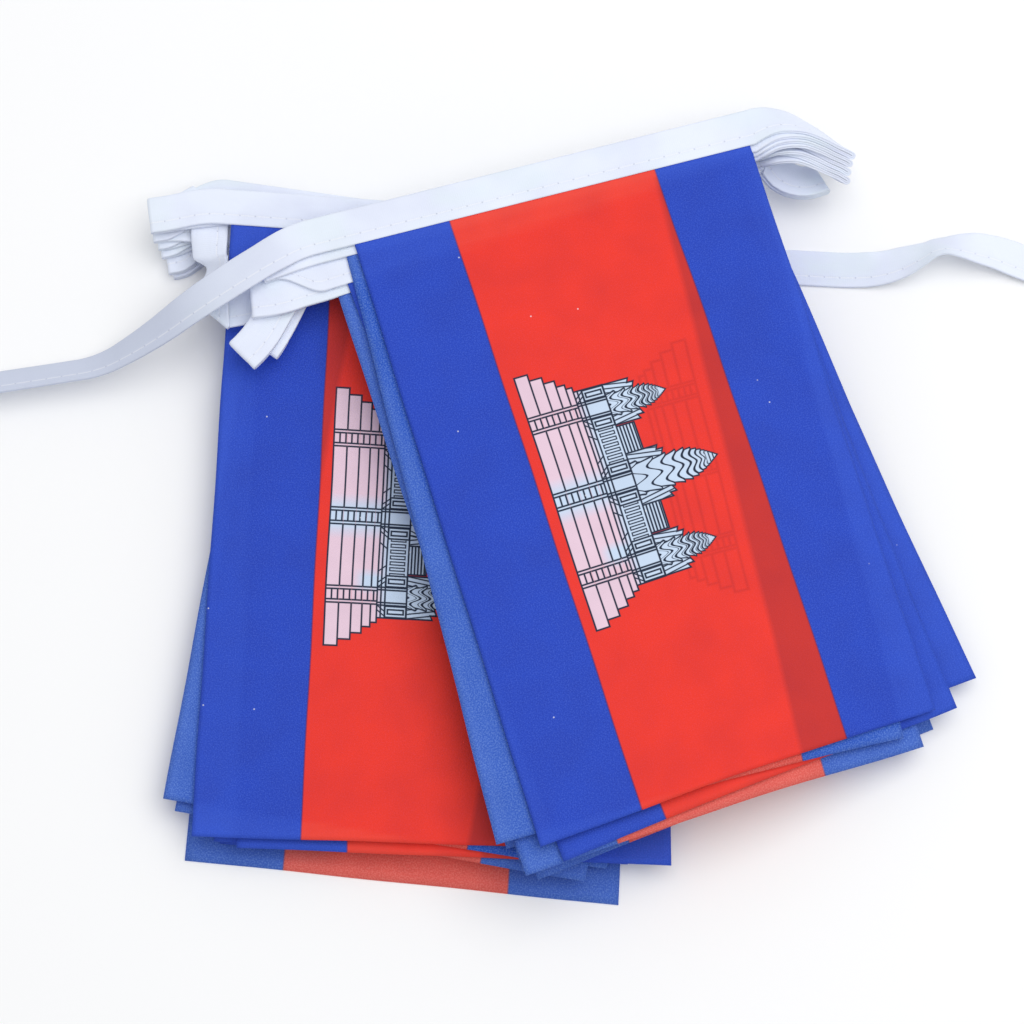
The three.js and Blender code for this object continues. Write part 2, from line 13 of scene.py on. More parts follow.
import bpy
import numpy as np
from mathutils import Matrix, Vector


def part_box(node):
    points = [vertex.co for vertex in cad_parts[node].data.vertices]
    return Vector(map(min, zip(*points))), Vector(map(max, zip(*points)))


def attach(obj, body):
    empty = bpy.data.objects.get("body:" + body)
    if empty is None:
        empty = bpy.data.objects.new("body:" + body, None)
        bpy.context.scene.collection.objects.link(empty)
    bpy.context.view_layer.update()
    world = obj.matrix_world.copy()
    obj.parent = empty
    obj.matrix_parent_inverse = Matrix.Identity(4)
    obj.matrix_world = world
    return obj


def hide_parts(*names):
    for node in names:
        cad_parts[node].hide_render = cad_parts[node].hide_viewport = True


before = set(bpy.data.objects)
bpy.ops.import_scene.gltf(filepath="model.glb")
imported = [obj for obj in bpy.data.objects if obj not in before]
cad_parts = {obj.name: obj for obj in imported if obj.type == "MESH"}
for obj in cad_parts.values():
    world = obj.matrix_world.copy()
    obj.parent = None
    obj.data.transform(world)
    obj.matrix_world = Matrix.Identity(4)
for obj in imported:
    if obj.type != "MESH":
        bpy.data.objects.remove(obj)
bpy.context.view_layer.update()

# %% [markdown]
# ## Camera
# The photograph looks down steeply, 14 degrees off the vertical, from a little over a metre away. A long
# lens from that distance keeps the two piles nearly in plan, as the picture has them. A camera straight
# above would be simpler, but it would lose the slight narrowing towards the tape.

# %% Camera
MM = 0.001
CAMERA_AT = (-1.18, -291.31, 1164.35)  # mm
CAMERA_TOWARDS = (-1.18, -1.0, 0.0)  # mm
CAMERA_LENS = 124.45  # mm of focal length on a 36 mm sensor


def add_camera():
    """A camera at one point that looks at another, upright in the picture."""
    at = Vector(CAMERA_AT) * MM
    towards = Vector(CAMERA_TOWARDS) * MM
    data = bpy.data.cameras.new("camera")
    data.lens = CAMERA_LENS
    camera = bpy.data.objects.new("camera", data)
    camera.location = at
    camera.rotation_euler = (towards - at).to_track_quat("-Z", "Y").to_euler()
    bpy.context.scene.collection.objects.link(camera)
    bpy.context.scene.camera = camera
    print("camera is", round((towards - at).length, 3), "m away")


add_camera()

# %% [markdown]
# ## The two piles
# Every flag lies on the one below it, so the cloth needs one rule for its height. A cloth simulation
# could drop twenty flags on each other, but they would slide out of the places that the photograph
# shows. Here a height is a formula of the place in plan, and each layer adds the same small step.
#
# The left pile lies on the floor. Only its heads are lifted, by the tape that runs under them. The right
# pile lies on the left one and sinks to the floor beyond it, over a smooth step.

# %% Heights of the two piles
SHEET = 1.06  # mm, what one solid layer takes up
PITCH = 1.38  # mm from one layer to the next
TAPE_WIDE = 12.5
HEAD_GAP = 0.3  # between a flag's head and the sewn edge of the tape
FLAGS_PER_PILE = 10

PILES = {
    "left": dict(x=-95.7, y=96.4, turn=-6.0, tape_from=-4.0, tape_to=158.0),
    "right": dict(x=-52.8, y=84.7, turn=16.5, tape_from=-14.0, tape_to=140.0),
}
HEAD_LIFT = dict(start=10.0, reach=36.0)
RIGHT_BASE = 13 * PITCH
RIGHT_HEAD_LEVEL = 20.0  # down to here the right pile is level from head to foot
LEFT_FLAGS_END = dict(x=60.0, y=110.0)
LEFT_TAPE_END = dict(x=76.0, y=89.0, half_wide=17.0)
SINK = dict(margin=8.0, reach=80.0)
SWELLS = np.array([  # x, y, reach, rise
    (20, 20, 42, 1.3),
    (-22, -28, 36, 0.9),
    (70, 62, 34, 1.1),
    (66, -46, 38, 1.4),
], float)


def ease(share):
    """Goes from 0 to 1 with no corner at either end: 3 t squared less 2 t cubed."""
    t = np.clip(share, 0, 1)
    return t * t * (3 - 2 * t)


def heading(degrees):
    """The unit vectors in plan that point that many degrees round from +X."""
    angle = np.radians(degrees)
    return np.stack([np.cos(angle), np.sin(angle)], -1)


def place(pile, across, down):
    """Plan points of a pile: its corner, plus across along the heads, plus down towards the feet."""
    along = heading(PILES[pile]["turn"])
    corner = np.array([PILES[pile]["x"], PILES[pile]["y"]])
    downwards = np.array([along[1], -along[0]])
    return corner + np.multiply.outer(across, along) + np.multiply.outer(down, downwards)


def place_within(pile, points):
    """The across and down of plan points: their distances from the corner along the two directions."""
    along = heading(PILES[pile]["turn"])
    away = points - np.array([PILES[pile]["x"], PILES[pile]["y"]])
    return away @ along, away @ np.array([along[1], -along[0]])


def right_base(points):
    """Height of the right pile's underside: full on the left pile, eased to the floor beyond it, with a
    few low swells where the layers below bunch up."""
    x, y = points[..., 0], points[..., 1]
    beyond_flags = np.hypot(
        np.maximum(0, x - LEFT_FLAGS_END["x"]),
        np.maximum(0, y - LEFT_FLAGS_END["y"]),
    )
    beyond_tape = np.hypot(
        np.maximum(0, x - LEFT_TAPE_END["x"]),
        np.maximum(0, np.abs(y - LEFT_TAPE_END["y"]) - LEFT_TAPE_END["half_wide"]),
    )
    beyond = np.minimum(beyond_flags, beyond_tape) - SINK["margin"]
    far = np.hypot(x[..., None] - SWELLS[:, 0], y[..., None] - SWELLS[:, 1]) / SWELLS[:, 2]
    swell = ((1 - ease(far)) * SWELLS[:, 3]).sum(-1)
    return RIGHT_BASE * (1 - ease(beyond / SINK["reach"])) + swell


def pile_height(pile, points, layers_under):
    """Height of a pile's lowest layer: the lifted heads on the left, the sinking base on the right."""
    across, down = place_within(pile, points)
    if pile == "left":
        return layers_under * PITCH * (1 - ease((down - HEAD_LIFT["start"]) / HEAD_LIFT["reach"]))
    level = np.maximum(down, RIGHT_HEAD_LEVEL) - down
    along = heading(PILES[pile]["turn"])
    return right_base(points + level[..., None] * np.array([along[1], -along[0]]))


print("right pile lies at", RIGHT_BASE, "mm on the left one")

# %% [markdown]
# ## Where each flag lies
# The fanned look comes from small differences: no two flags lie quite the same. Each row gives a flag's
# upper left corner, the heading and length of its head, and the lean and length of its long edges, from
# the top flag down. Turning one flag in twenty steps would be quicker, and would look machine-made.
#
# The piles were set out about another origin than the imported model's. One flag's box in the model gives
# the shift, so no number is copied by hand.

# %% Flag places
COLUMNS = ("x", "y", "top", "wide", "left", "left_long", "right", "right_long")
FLAGS = {
    "right": [
        (-52.8, 84.7, 14.8, 138, 16.9, 212.9, 17.3, 199.6),
        (-55.5, 80.9, 15.1, 142.1, 14.2, 205.2, 13.5, 203.7),
        (-55.1, 71.8, 18.2, 140.8, 20.2, 207.8, 20.4, 197.5),
        (-58.2, 67.7, 18.9, 141.7, 17.8, 205.1, 17.1, 205),
        (-54.7, 80.5, 16.7, 136.8, 22, 204.8, 23.7, 195),
        (-56, 76.1, 16.3, 141, 16.4, 206.6, 15.6, 202.4),
        (-50.4, 79.4, 16.6, 137.5, 18.1, 205.6, 18.8, 194.1),
        (-56.5, 76.1, 15.7, 142.3, 15.7, 201.8, 14.7, 198.7),
        (-52.9, 80.1, 14.9, 139.5, 18.7, 209.6, 19.4, 193.6),
        (-56.9, 72.1, 17.1, 141.3, 18.1, 210.2, 18.3, 198.6),
    ],
    "left": [
        (-95.7, 96.4, -4.3, 138, -2.6, 209.3, -3.1, 203.4),
        (-82.2, 99, -8.5, 140, -9.3, 201.7, -10.4, 204.3),
        (-85.5, 90.3, -2.5, 138.9, -1.4, 206.4, -0.3, 206.3),
        (-78.4, 96.2, -8.5, 140, -9.3, 202.4, -10.1, 205.7),
        (-89.8, 93.8, -3.6, 139.4, -2.3, 207.5, -3.1, 206.6),
        (-85.8, 94.2, -6.5, 138.7, -5.2, 200.8, -5.9, 202),
        (-88.3, 92.5, -3, 139.2, -1.7, 206.7, -2.4, 205.6),
        (-87.4, 93.9, -5.6, 139.2, -4.8, 202, -5.6, 203),
        (-89.5, 92.7, -3, 139.5, -2, 206.2, -2.7, 205.1),
        (-91.3, 91.4, -6.4, 139.6, -4.6, 210.9, -3.4, 210),
    ],
}
TAPE_LAYERS_UNDER_HEAD = {"left": [3] + [1] * 9, "right": [0] * FLAGS_PER_PILE}


def flag_row(pile, number):
    """A flag's row of the table, by the names of its columns."""
    return dict(zip(COLUMNS, FLAGS[pile][number - 1]))


def level_of(number):
    """How many flags of its pile lie under a flag."""
    return FLAGS_PER_PILE - number


def flag_corners(pile, number):
    """Head left, foot left, foot right and head right in plan. A foot corner is its head corner plus
    the edge's length along the edge's own lean."""
    row = flag_row(pile, number)
    head_left = np.array([row["x"], row["y"]], float)
    head_right = head_left + row["wide"] * heading(row["top"])
    foot_left = head_left + row["left_long"] * heading(row["left"] - 90)
    foot_right = head_right + row["right_long"] * heading(row["right"] - 90)
    return np.array([head_left, foot_left, foot_right, head_right])


def origin_shift():
    """From the tables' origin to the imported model's, in mm: the difference of one flag's boxes."""
    low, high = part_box("flag_left_01")
    corners = flag_corners("left", 1)
    return np.array([low.x / MM - corners[:, 0].min(), high.y / MM - corners[:, 1].max(), 0])


SHIFT = origin_shift()
print("shift in mm:", SHIFT.round(3))

# %% [markdown]
# ## One flag as a grid
# A flag is a sheet of thin polyester, cut with a hot knife, so its edges are clean and not quite
# straight. It could be a plane with a cloth simulation. A grid of points worked out from two shares, u
# across and v down, keeps the corners where they are and lets the same u and v carry the print.

# %% Places on one flag
PRINT_WIDE = 140.0  # mm
PRINT_LONG = 210.0
PRINT_CUTS = {("right", 1): (-0.5, -0.3), ("left", 1): (1.2, -5.6)}  # mm, where a cut missed the print
PRINT_SKEW = 0.008  # mm across for each mm down


def on_flag(corners, u, v):
    """Plan point at u across and v down: the head's point and the foot's point at u, mixed by v."""
    u, v = u[..., None], v[..., None]
    head = corners[0] * (1 - u) + corners[3] * u
    foot = corners[1] * (1 - u) + corners[2] * u
    return head * (1 - v) + foot * v


def shares_on_flag(corners, points, rounds=4):
    """The u and v of plan points, by Newton's steps: each step divides what is still missing by the
    local directions of u and v."""
    u = np.full(points.shape[:-1], 0.5)
    v = np.full(points.shape[:-1], 0.5)
    for _ in range(rounds):
        missing = points - on_flag(corners, u, v)
        by_u = on_flag(corners, u + 1, v) - on_flag(corners, u, v)
        by_v = on_flag(corners, u, v + 1) - on_flag(corners, u, v)
        area = by_u[..., 0] * by_v[..., 1] - by_u[..., 1] * by_v[..., 0]
        u = u + (missing[..., 0] * by_v[..., 1] - missing[..., 1] * by_v[..., 0]) / area
        v = v + (by_u[..., 0] * missing[..., 1] - by_u[..., 1] * missing[..., 0]) / area
    return u, v


def print_place(pile, number, u, v):
    """Print coordinates from 0 to 1, a little off and askew as the flags were cut. A flag that lies print
    side down is turned over about its length."""
    across, down = PRINT_CUTS.get((pile, number), (0.0, 0.0))
    across = across + PRINT_SKEW * (v - 0.5) * PRINT_LONG
    u = u if number % 2 else 1 - u
    return np.stack([u - across / PRINT_WIDE, 1 - v + down / PRINT_LONG], -1)


print("print:", PRINT_WIDE, "x", PRINT_LONG, "mm")

# %% [markdown]
# ## What lies under the cloth
# Where a layer below ends, the cloth above dips over its edge, and less light is lost through it. A
# simulation would find the dips but not the light. Here both are worked out from the places of the next
# layers, and the amount is kept for the material. Near the tape the seam holds the cloth flat.

# %% One flag's surface
CLOTH = 0.42  # mm, thickness of the cloth shown
TUCKED = 1.6  # mm of the head that is inside the tape
DIP = 0.16  # mm that a layer dips for each missing layer below it
CALM_BELOW_TAPE = 26.0  # mm from the head over which the seam holds the cloth flat
OWN_RIPPLE = 0.08  # share of the ripples that a flag has to itself
LAYER_WEIGHTS = (0.5, 0.3, 0.2)  # what the next three layers add to the darkness below
EDGE_SOFT = 1.6  # mm over which a layer's edge shows through
RIPPLES = np.array([  # wave length, heading, phase, height
    (96, 20, 0.4, 0.16),
    (61, 104, 2.1, 0.12),
    (37, 61, 4.0, 0.06),
    (23, 141, 1.2, 0.03),
], float)
UNEVEN = dict(length=58.0, size=0.1)  # the wander of a cut edge, mm


def inside(pile, number, points):
    """1 within a flag and 0 outside it, eased over EDGE_SOFT at its edges."""
    if number > FLAGS_PER_PILE:
        return np.zeros(points.shape[:-1])
    u, v = shares_on_flag(flag_corners(pile, number), points)
    across = np.minimum(u, 1 - u) * PRINT_WIDE
    down = np.minimum(v, 1 - v) * PRINT_LONG
    return ease(np.minimum(across, down) / EDGE_SOFT + 0.5)


def ripple(points, phase=0.0):
    """Soft unevenness of a pile: a sum of a few sine waves, each with its length and heading."""
    along = points @ heading(RIPPLES[:, 1]).T
    waves = np.sin(along / RIPPLES[:, 0] * 2 * np.pi + RIPPLES[:, 2] + phase)
    return (waves * RIPPLES[:, 3]).sum(-1)


def flag_surface(pile, number, step):
    """A flag's grid of points in mm, with its print places, the print places on the flag below, and how
    much lies below each point."""
    corners = flag_corners(pile, number)
    row = flag_row(pile, number)
    wide, long = row["wide"], (row["left_long"] + row["right_long"]) / 2
    u = np.linspace(0, 1, int(round(wide / step)) + 1)
    v = np.linspace(-TUCKED / long, 1, int(round(long / step)) + 1)
    u, v = np.meshgrid(u, v)
    plan = on_flag(corners, u, v)
    wander = np.sin(plan[..., ::-1] / UNEVEN["length"] * 2 * np.pi + number) * UNEVEN["size"]
    layers_under = TAPE_LAYERS_UNDER_HEAD[pile][number - 1]
    nexts = range(number + 1, number + 1 + len(LAYER_WEIGHTS))
    present = np.stack([inside(pile, other, plan) for other in nexts], -1)
    height = pile_height(pile, plan, layers_under) + level_of(number) * PITCH + SHEET / 2
    unevenness = ripple(plan) + OWN_RIPPLE * ripple(plan, number) - DIP * (1 - present).sum(-1)
    height = height + unevenness * ease(v * long / CALM_BELOW_TAPE)
    height = np.maximum(height, CLOTH)
    next_flag = min(number + 1, FLAGS_PER_PILE)
    next_shares = shares_on_flag(flag_corners(pile, next_flag), plan)
    return {
        "points": np.concatenate([plan + wander, height[..., None]], -1) + SHIFT,
        "print": print_place(pile, number, u, v),
        "print_below": print_place(pile, next_flag, *next_shares),
        "under": present @ np.array(LAYER_WEIGHTS),
    }


print("cloth", CLOTH, "mm thick in layers", PITCH, "mm apart")

# %% [markdown]
# ## From a grid to a mesh
# Blender can add a grid and let a script move its vertices one by one, which is slow. Here the points,
# the faces and the print coordinates are whole arrays, and foreach_set hands each array over in one go.
# The grid has no thickness, so a Solidify modifier gives it one, with the other side's own material.

# %% Grid to mesh
def mesh_from(name, points, faces, uv_maps):
    """A mesh object from points in mm, quads as rows of four numbers, and UV maps of one place for each
    corner of each quad."""
    mesh = bpy.data.meshes.new(name)
    mesh.vertices.add(len(points))
    mesh.vertices.foreach_set("co", (points * MM).astype(np.float32).ravel())
    mesh.loops.add(faces.size)
    mesh.loops.foreach_set("vertex_index", faces.astype(np.int32).ravel())
    mesh.polygons.add(len(faces))
    mesh.polygons.foreach_set("loop_start", np.arange(0, faces.size, 4, dtype=np.int32))
    mesh.polygons.foreach_set("use_smooth", np.ones(len(faces), bool))
    mesh.update(calc_edges=True)
    for label, places in uv_maps.items():
        layer = mesh.uv_layers.new(name=label)
        layer.data.foreach_set("uv", places.astype(np.float32).ravel())
    mesh.validate()
    made = bpy.data.objects.new(name, mesh)
    bpy.context.scene.collection.objects.link(made)
    return made


def grid_faces(rows, columns):
    """Quads of a grid, as seen from above anticlockwise when rows go down and columns go right."""
    number = np.arange(rows * columns).reshape(rows, columns)
    corners = [number[1:, :-1], number[1:, 1:], number[:-1, 1:], number[:-1, :-1]]
    return np.stack(corners, -1).reshape(-1, 4)


STEPS = {("right", 1): 1.4, ("left", 1): 1.6}  # mm between grid points of the flags on top
OTHER_STEPS = {2: 2.2, 3: 2.2, 4: 2.6, 5: 2.6}
HIDDEN_STEP = 4.0


def add_flag(pile, number):
    """A flag's cloth: its grid, and a wall below it that carries the other side's material."""
    step = STEPS.get((pile, number), OTHER_STEPS.get(number, HIDDEN_STEP))
    surface = flag_surface(pile, number, step)
    rows, columns = surface["points"].shape[:2]
    faces = grid_faces(rows, columns)
    flat = {label: surface[label].reshape(-1, 2)[faces] for label in ("print", "print_below")}
    node = f"flag_{pile}_{number:02d}"
    flag = mesh_from(node + "_cloth", surface["points"].reshape(-1, 3), faces, flat)
    under = flag.data.attributes.new("under", "FLOAT", "POINT")
    under.data.foreach_set("value", surface["under"].astype(np.float32).ravel())
    wall = flag.modifiers.new("thickness", "SOLIDIFY")
    wall.thickness = CLOTH * MM
    wall.offset = -1
    wall.material_offset = 1
    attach(flag, "root")
    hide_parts(node)
    return flag


flags = {(pile, n): add_flag(pile, n) for pile in FLAGS for n in range(1, FLAGS_PER_PILE + 1)}
print("flags:", len(flags), "faces:", sum(len(flag.data.polygons) for flag in flags.values()))

# %% [markdown]
# ## The way of the tape
# One tape, 4.7 metres long, carries all the flags. It could be twenty short strips, but its
# loops at the ends of the piles show that it never ends, so it is one band here.
#
# Its way is written as a walker would tell it: go so far, turn so much, climb and roll until then. The
# headings are summed along the length, and each step's direction is added to the last place. At the end
# of a pile the way out and the way back share one spine, and a half circle joins them.

# %% Ways of the tape
STEP = 1.5  # mm between two cross-sections in a bend
PAGE_STEP = 3.5  # mm beside a flag's head
BEND_ANGLES = np.arange(15, 180, 15)

WAYS = {  # go, turn, climb, roll
    "right_stack": [(8, -15, -8, 30), (10, -18, -22, 55), (10, -8, -26, 65), (6, -2, -18, 72)],
    "right_lowest": [(3, -4, -24, 0), (8, -50, -30, 2), (5, 0, -34, 10), (9, 58, -14, 20)],
    "upper_loop": [(15, 3, 0, 0)],
    "wide_loop": [(11, 8, 0, 0), (10, -20, 0, 0)],
    "long_loop": [(12, 36, 0, 0), (16, 4, 0, 0), (11, -12, 0, 0)],
    "short_loop": [(9, 44, 0, 0), (14, 0, 0, 0), (10, -4, 0, 0)],
    "left_stack": [(10, 10, 0, 0), (10, 4, 0, 0)],
    "left_lowest": [(8, 25, 0, 0), (9, -10, 0, 0)],
    "hidden_loops": [(11, 0, 0, 0)],
    "left_end": [
        (9, 14, 3, 0), (9, 2, 0, 8), (16, -1, -10, 8), (20, -3, -31, 16),
        (26, -6, -24, 34), (14, -14, -3, 40), (48, 0, 0, 38),
    ],
    "right_end": [
        (12, 0, 0, 0), (12, 5, 8, 0), (12, 16, 16, 20), (10, 8, 10, 48),
        (6, -24, 0, 46), (11, -8, -14, 16), (12, -12, -10, 4), (26, -4, 1, 0),
    ],
    "join_out": [(12, 8, 0, 0), (12, -6, 0, 0), (6, -9, 0, 0)],
}


def tape_frame(at, headings, climbs, rolls, sense):
    """Directions of the tape at each place: ahead along it, side away from the flags, and up off its
    face. A roll turns side and up about ahead."""
    at = np.atleast_2d(at)
    h, c, r = (np.radians(np.broadcast_to(a, len(at))) for a in (headings, climbs, rolls))
    zero = np.zeros(len(at))
    ahead = np.stack([np.cos(h) * np.cos(c), np.sin(h) * np.cos(c), np.sin(c)], -1)
    level = np.stack([-np.sin(h), np.cos(h), zero], -1) * sense
    above = np.stack([-np.cos(h) * np.sin(c), -np.sin(h) * np.sin(c), np.cos(c)], -1)
    cos, sin = np.cos(r)[:, None], np.sin(r)[:, None]
    return dict(at=at, ahead=ahead, side=level * cos - above * sin, up=above * cos + level * sin)


def walk(start, first_heading, sense, way, step=STEP):
    """Follows a way from its start. Heading, climb and roll change evenly along each row, and the place
    is the running sum of the steps."""
    go, turn, climb, roll = np.array(WAYS[way], float).T
    ends = np.concatenate([[0], np.cumsum(go)])
    gone = np.linspace(0, ends[-1], int(np.ceil(ends[-1] / step)) + 1)
    tables = [np.concatenate([[0], values]) for values in (np.cumsum(turn), climb, roll)]
    middles = (gone[1:] + gone[:-1]) / 2
    turned, climbs, _ = (np.interp(middles, ends, table) for table in tables)
    steps = tape_frame(np.zeros((len(middles), 3)), first_heading + turned, climbs, 0, 1)["ahead"]
    moved = np.cumsum(steps * np.diff(gone)[:, None], 0)
    at = start + np.concatenate([np.zeros((1, 3)), moved])
    turned, climbs, rolls = (np.interp(gone, ends, table) for table in tables)
    return dict(tape_frame(at, first_heading + turned, climbs, rolls, sense), gone=gone)


def stations(frames, side, lift, facing):
    """Cross-sections of the tape: middle, sideways direction and the face it started with."""
    at = frames["at"] + frames["side"] * np.reshape(side, (-1, 1)) + frames["up"] * lift
    return np.stack([at, frames["side"], frames["up"] * facing], 1)


def part_of(frames, which):
    """Some places of a way, picked by number or by a mask."""
    return {key: values[which] for key, values in frames.items()}


print("ways of the tape:", len(WAYS))

# %% [markdown]
# ## Beside the flags
# Beside a flag's head the tape is straight and level across, like one page of a folded sheet. One strip
# could be copied for all of a pile's flags, but then its edges would form one sharp line. Each page
# follows its own flag's slanting head instead, which fans the edges of the stack.

# %% Pages
def tape_level(pile, number):
    """The layer that the tape beside a flag lies in, counted from its pile's lowest."""
    if number > FLAGS_PER_PILE:
        return 0
    return level_of(number) + TAPE_LAYERS_UNDER_HEAD[pile][number - 1]


def tape_side(pile, number, across):
    """How far the tape's middle lies beyond the pile's corner line, beside a flag's own slanting head."""
    row = flag_row(pile, number)
    corner_across, corner_down = place_within(pile, np.array([row["x"], row["y"]]))
    slope = np.tan(np.radians(row["top"] - PILES[pile]["turn"]))
    return slope * (across - corner_across) - corner_down + HEAD_GAP + TAPE_WIDE / 2


def tape_points(pile, across, side, level):
    """Places on a pile's strip of tape, at a level of its stack."""
    across = np.asarray(across, float)
    plan = place(pile, across, -np.asarray(side))
    base = place(pile, across, np.zeros(across.shape))
    strip = 0 if pile == "left" else pile_height(pile, base, 0)
    height = strip + level * PITCH + SHEET / 2
    return np.concatenate([plan, np.broadcast_to(height, across.shape)[..., None]], -1)


def page(pile, number):
    """The tape beside one flag's head, out for a flag that lies print side up and back for the next."""
    start, end = PILES[pile]["tape_from"], PILES[pile]["tape_to"]
    across = np.linspace(start, end, int(np.ceil((end - start) / PAGE_STEP)) + 1)
    side = tape_side(pile, number, across)
    at = tape_points(pile, across, side, tape_level(pile, number))
    odd = number % 2 == 1
    made = stations(tape_frame(at, PILES[pile]["turn"], 0, 0, 1), 0, 0, 1 if odd else -1)
    return made if odd else made[::-1]


print("pages:", len(PILES) * FLAGS_PER_PILE)

# %% [markdown]
# ## Round the ends
# At the end of the pile the tape leaves the flags, bends in a tight hairpin, and comes back one layer
# lower. Equal loops would be shorter to write. These differ in their ways, which is what makes the ends
# of the stacks look loose, and the two strands of a loop keep to the two sides of its spine.

# %% Loops
LOOPS = {  # way, level it is measured from (None: its own middle), sideways place reached, reach
    ("right", "right"): {
        1: ("right_stack", 5.5, 1.2, 1), 3: ("right_stack", 5.5, 0.2, 1.4),
        5: ("right_stack", 5.5, 0, 2.4), 7: ("right_stack", 5.5, -1.2, 3.4),
        9: ("right_lowest", None, -6, 1),
    },
    ("right", "left"): {
        2: ("upper_loop", None, 3.5, 2.5), 4: ("wide_loop", None, -7.4, 1),
        6: ("long_loop", None, -4.1, 1), 8: ("short_loop", None, -2.4, 1),
    },
    ("left", "right"): {
        1: ("hidden_loops", None, -0.5, 1.5), 3: ("hidden_loops", None, -0.8, 0.4),
        5: ("hidden_loops", None, 0.6, 1.1), 7: ("hidden_loops", None, -0.2, 0.6),
        9: ("hidden_loops", None, 0.4, 0.8),
    },
    ("left", "left"): {
        2: ("left_stack", None, 2.6, 2.2), 4: ("left_stack", None, 0.6, 1),
        6: ("left_stack", None, -1.6, 0.4), 8: ("left_lowest", None, -4, 2),
        10: ("left_lowest", None, -5, 0.6),
    },
}
RIGHT_END_SIDE_START = 1.5
THICK = dict(loose=0.62, joined=0.95, page=0.95, loop=1.24)  # share of the profile's own thickness


def pile_end(pile, end):
    """Where a pile's tape leaves the flags: its across, heading and sense."""
    if end == "right":
        return PILES[pile]["tape_to"], PILES[pile]["turn"], 1
    return PILES[pile]["tape_from"], PILES[pile]["turn"] + 180, -1


def hairpin(tip, side, lifts, sense):
    """Half a circle from one lift to the other, beyond the tip."""
    middle, radius = (lifts[0] + lifts[1]) / 2, (lifts[0] - lifts[1]) / 2
    cos, sin = (f(np.radians(BEND_ANGLES))[:, None] for f in (np.cos, np.sin))
    at = tip["at"] + tip["side"] * side + tip["up"] * (middle + radius * cos)
    at = at + tip["ahead"] * abs(radius) * sin
    face = (tip["up"] * cos + tip["ahead"] * np.sign(radius) * sin) * sense
    return np.stack([at, np.broadcast_to(tip["side"], at.shape), face], 1)


def loop(pile, end, number):
    """The tape from one flag to the next beyond a pile's end: out, round a hairpin and back."""
    way, spine, fan, reach = LOOPS[pile, end][number]
    levels = [tape_level(pile, number), tape_level(pile, number + 1)]
    spine = sum(levels) / 2 if spine is None else spine
    across, first_heading, sense = pile_end(pile, end)
    frames = walk(tape_points(pile, across, 0, spine), first_heading, sense, way)
    last = part_of(frames, slice(-1, None))
    tip = dict(last, at=last["at"] + last["ahead"] * reach)
    lifts = [(level - spine) * PITCH for level in levels]
    share = ease(frames["gone"] / frames["gone"][-1])[1:]
    strands = []
    for which, facing in ((0, sense), (1, -sense)):
        each = number + which
        first = RIGHT_END_SIDE_START if each > FLAGS_PER_PILE else tape_side(pile, each, across)
        side = first + (fan - first) * share
        out = stations(part_of(frames, slice(1, None)), side, lifts[which], facing)
        strands.append(np.concatenate([out, stations(tip, fan, lifts[which], facing)]))
    return np.concatenate([strands[0], hairpin(tip, fan, lifts, sense), strands[1][::-1]])


def pile_parts(pile):
    """The cross-sections of a pile's tape, page by page and loop by loop, each with its thickness."""
    parts = []
    for number in range(1, FLAGS_PER_PILE + 1):
        parts.append((page(pile, number), THICK["page"]))
        end = "right" if number % 2 else "left"
        if number in LOOPS[pile, end]:
            parts.append((loop(pile, end, number), THICK["loop"]))
    return parts


print("loops:", sum(len(rows) for rows in LOOPS.values()))

# %% [markdown]
# ## Slanting folds
# A band that changes its direction on a table is folded over at a slant. It could be bent sideways, but
# real tape would crease. The fold turns it about a line that halves its old and new headings, so a half
# turn about that line is all it needs. Between two folds the tape follows a cubic curve, which keeps the
# heading at both of its ends.

# %% Folds and curves
RUN_STATIONS = 9  # cross-sections between two given ones


def flat(degrees):
    """A heading in plan, as a level direction in space."""
    return np.append(heading(degrees), 0.0)


def slant_fold(at, face, old, new):
    """A half turn of the tape about the slanting line between its old and new headings."""
    line, ahead = flat((old + new) / 2), flat(old)
    across = np.cross(face, ahead)
    half = line / (line @ across)
    forth = ahead - line * (ahead @ line)
    forth = forth / np.linalg.norm(forth)
    angle = np.radians(np.concatenate([[0], BEND_ANGLES, [180]]))[:, None]
    middle = at + forth * (PITCH / 2) * np.sin(angle)
    middle = middle + np.array([0, 0, PITCH / 2]) * (1 - np.cos(angle))
    turned = face * np.cos(angle) - forth * np.sign(face[2]) * np.sin(angle)
    return np.stack([middle, np.broadcast_to(half, middle.shape), turned], 1)


def curved_run(points, headings, rolls):
    """Cubic curves through the given places, each leaving and arriving along its heading, with the roll
    eased from one place to the next."""
    parts = []
    share = np.linspace(0, 1, RUN_STATIONS)[1:, None]
    for i in range(len(points) - 1):
        here, there = points[i], points[i + 1]
        far = np.linalg.norm(there - here)
        leaving, arriving = flat(headings[i]) * far, flat(headings[i + 1]) * far
        moved = ease(share) * (there - here)
        bent = share * (1 - share) ** 2 * leaving - share ** 2 * (1 - share) * arriving
        turned = headings[i] + (headings[i + 1] - headings[i]) * share[:, 0]
        rolled = rolls[i] + (rolls[i + 1] - rolls[i]) * ease(share[:, 0])
        parts.append(stations(tape_frame(here + moved + bent, turned, 0, rolled, 1), 0, 0, 1))
    return np.concatenate(parts)


print("a slanting fold has", len(BEND_ANGLES) + 2, "cross-sections")

# %% [markdown]
# ## From one pile to the other
# Between the piles the tape comes out from under the right one, folds over at a slant, runs up beside
# the left pile and folds over again into it. There it runs to the stack's tip and comes back as the top
# layer. A simulated fold would not stay where the picture has it, so a few measured places and headings
# fix it, and the curves do the rest.

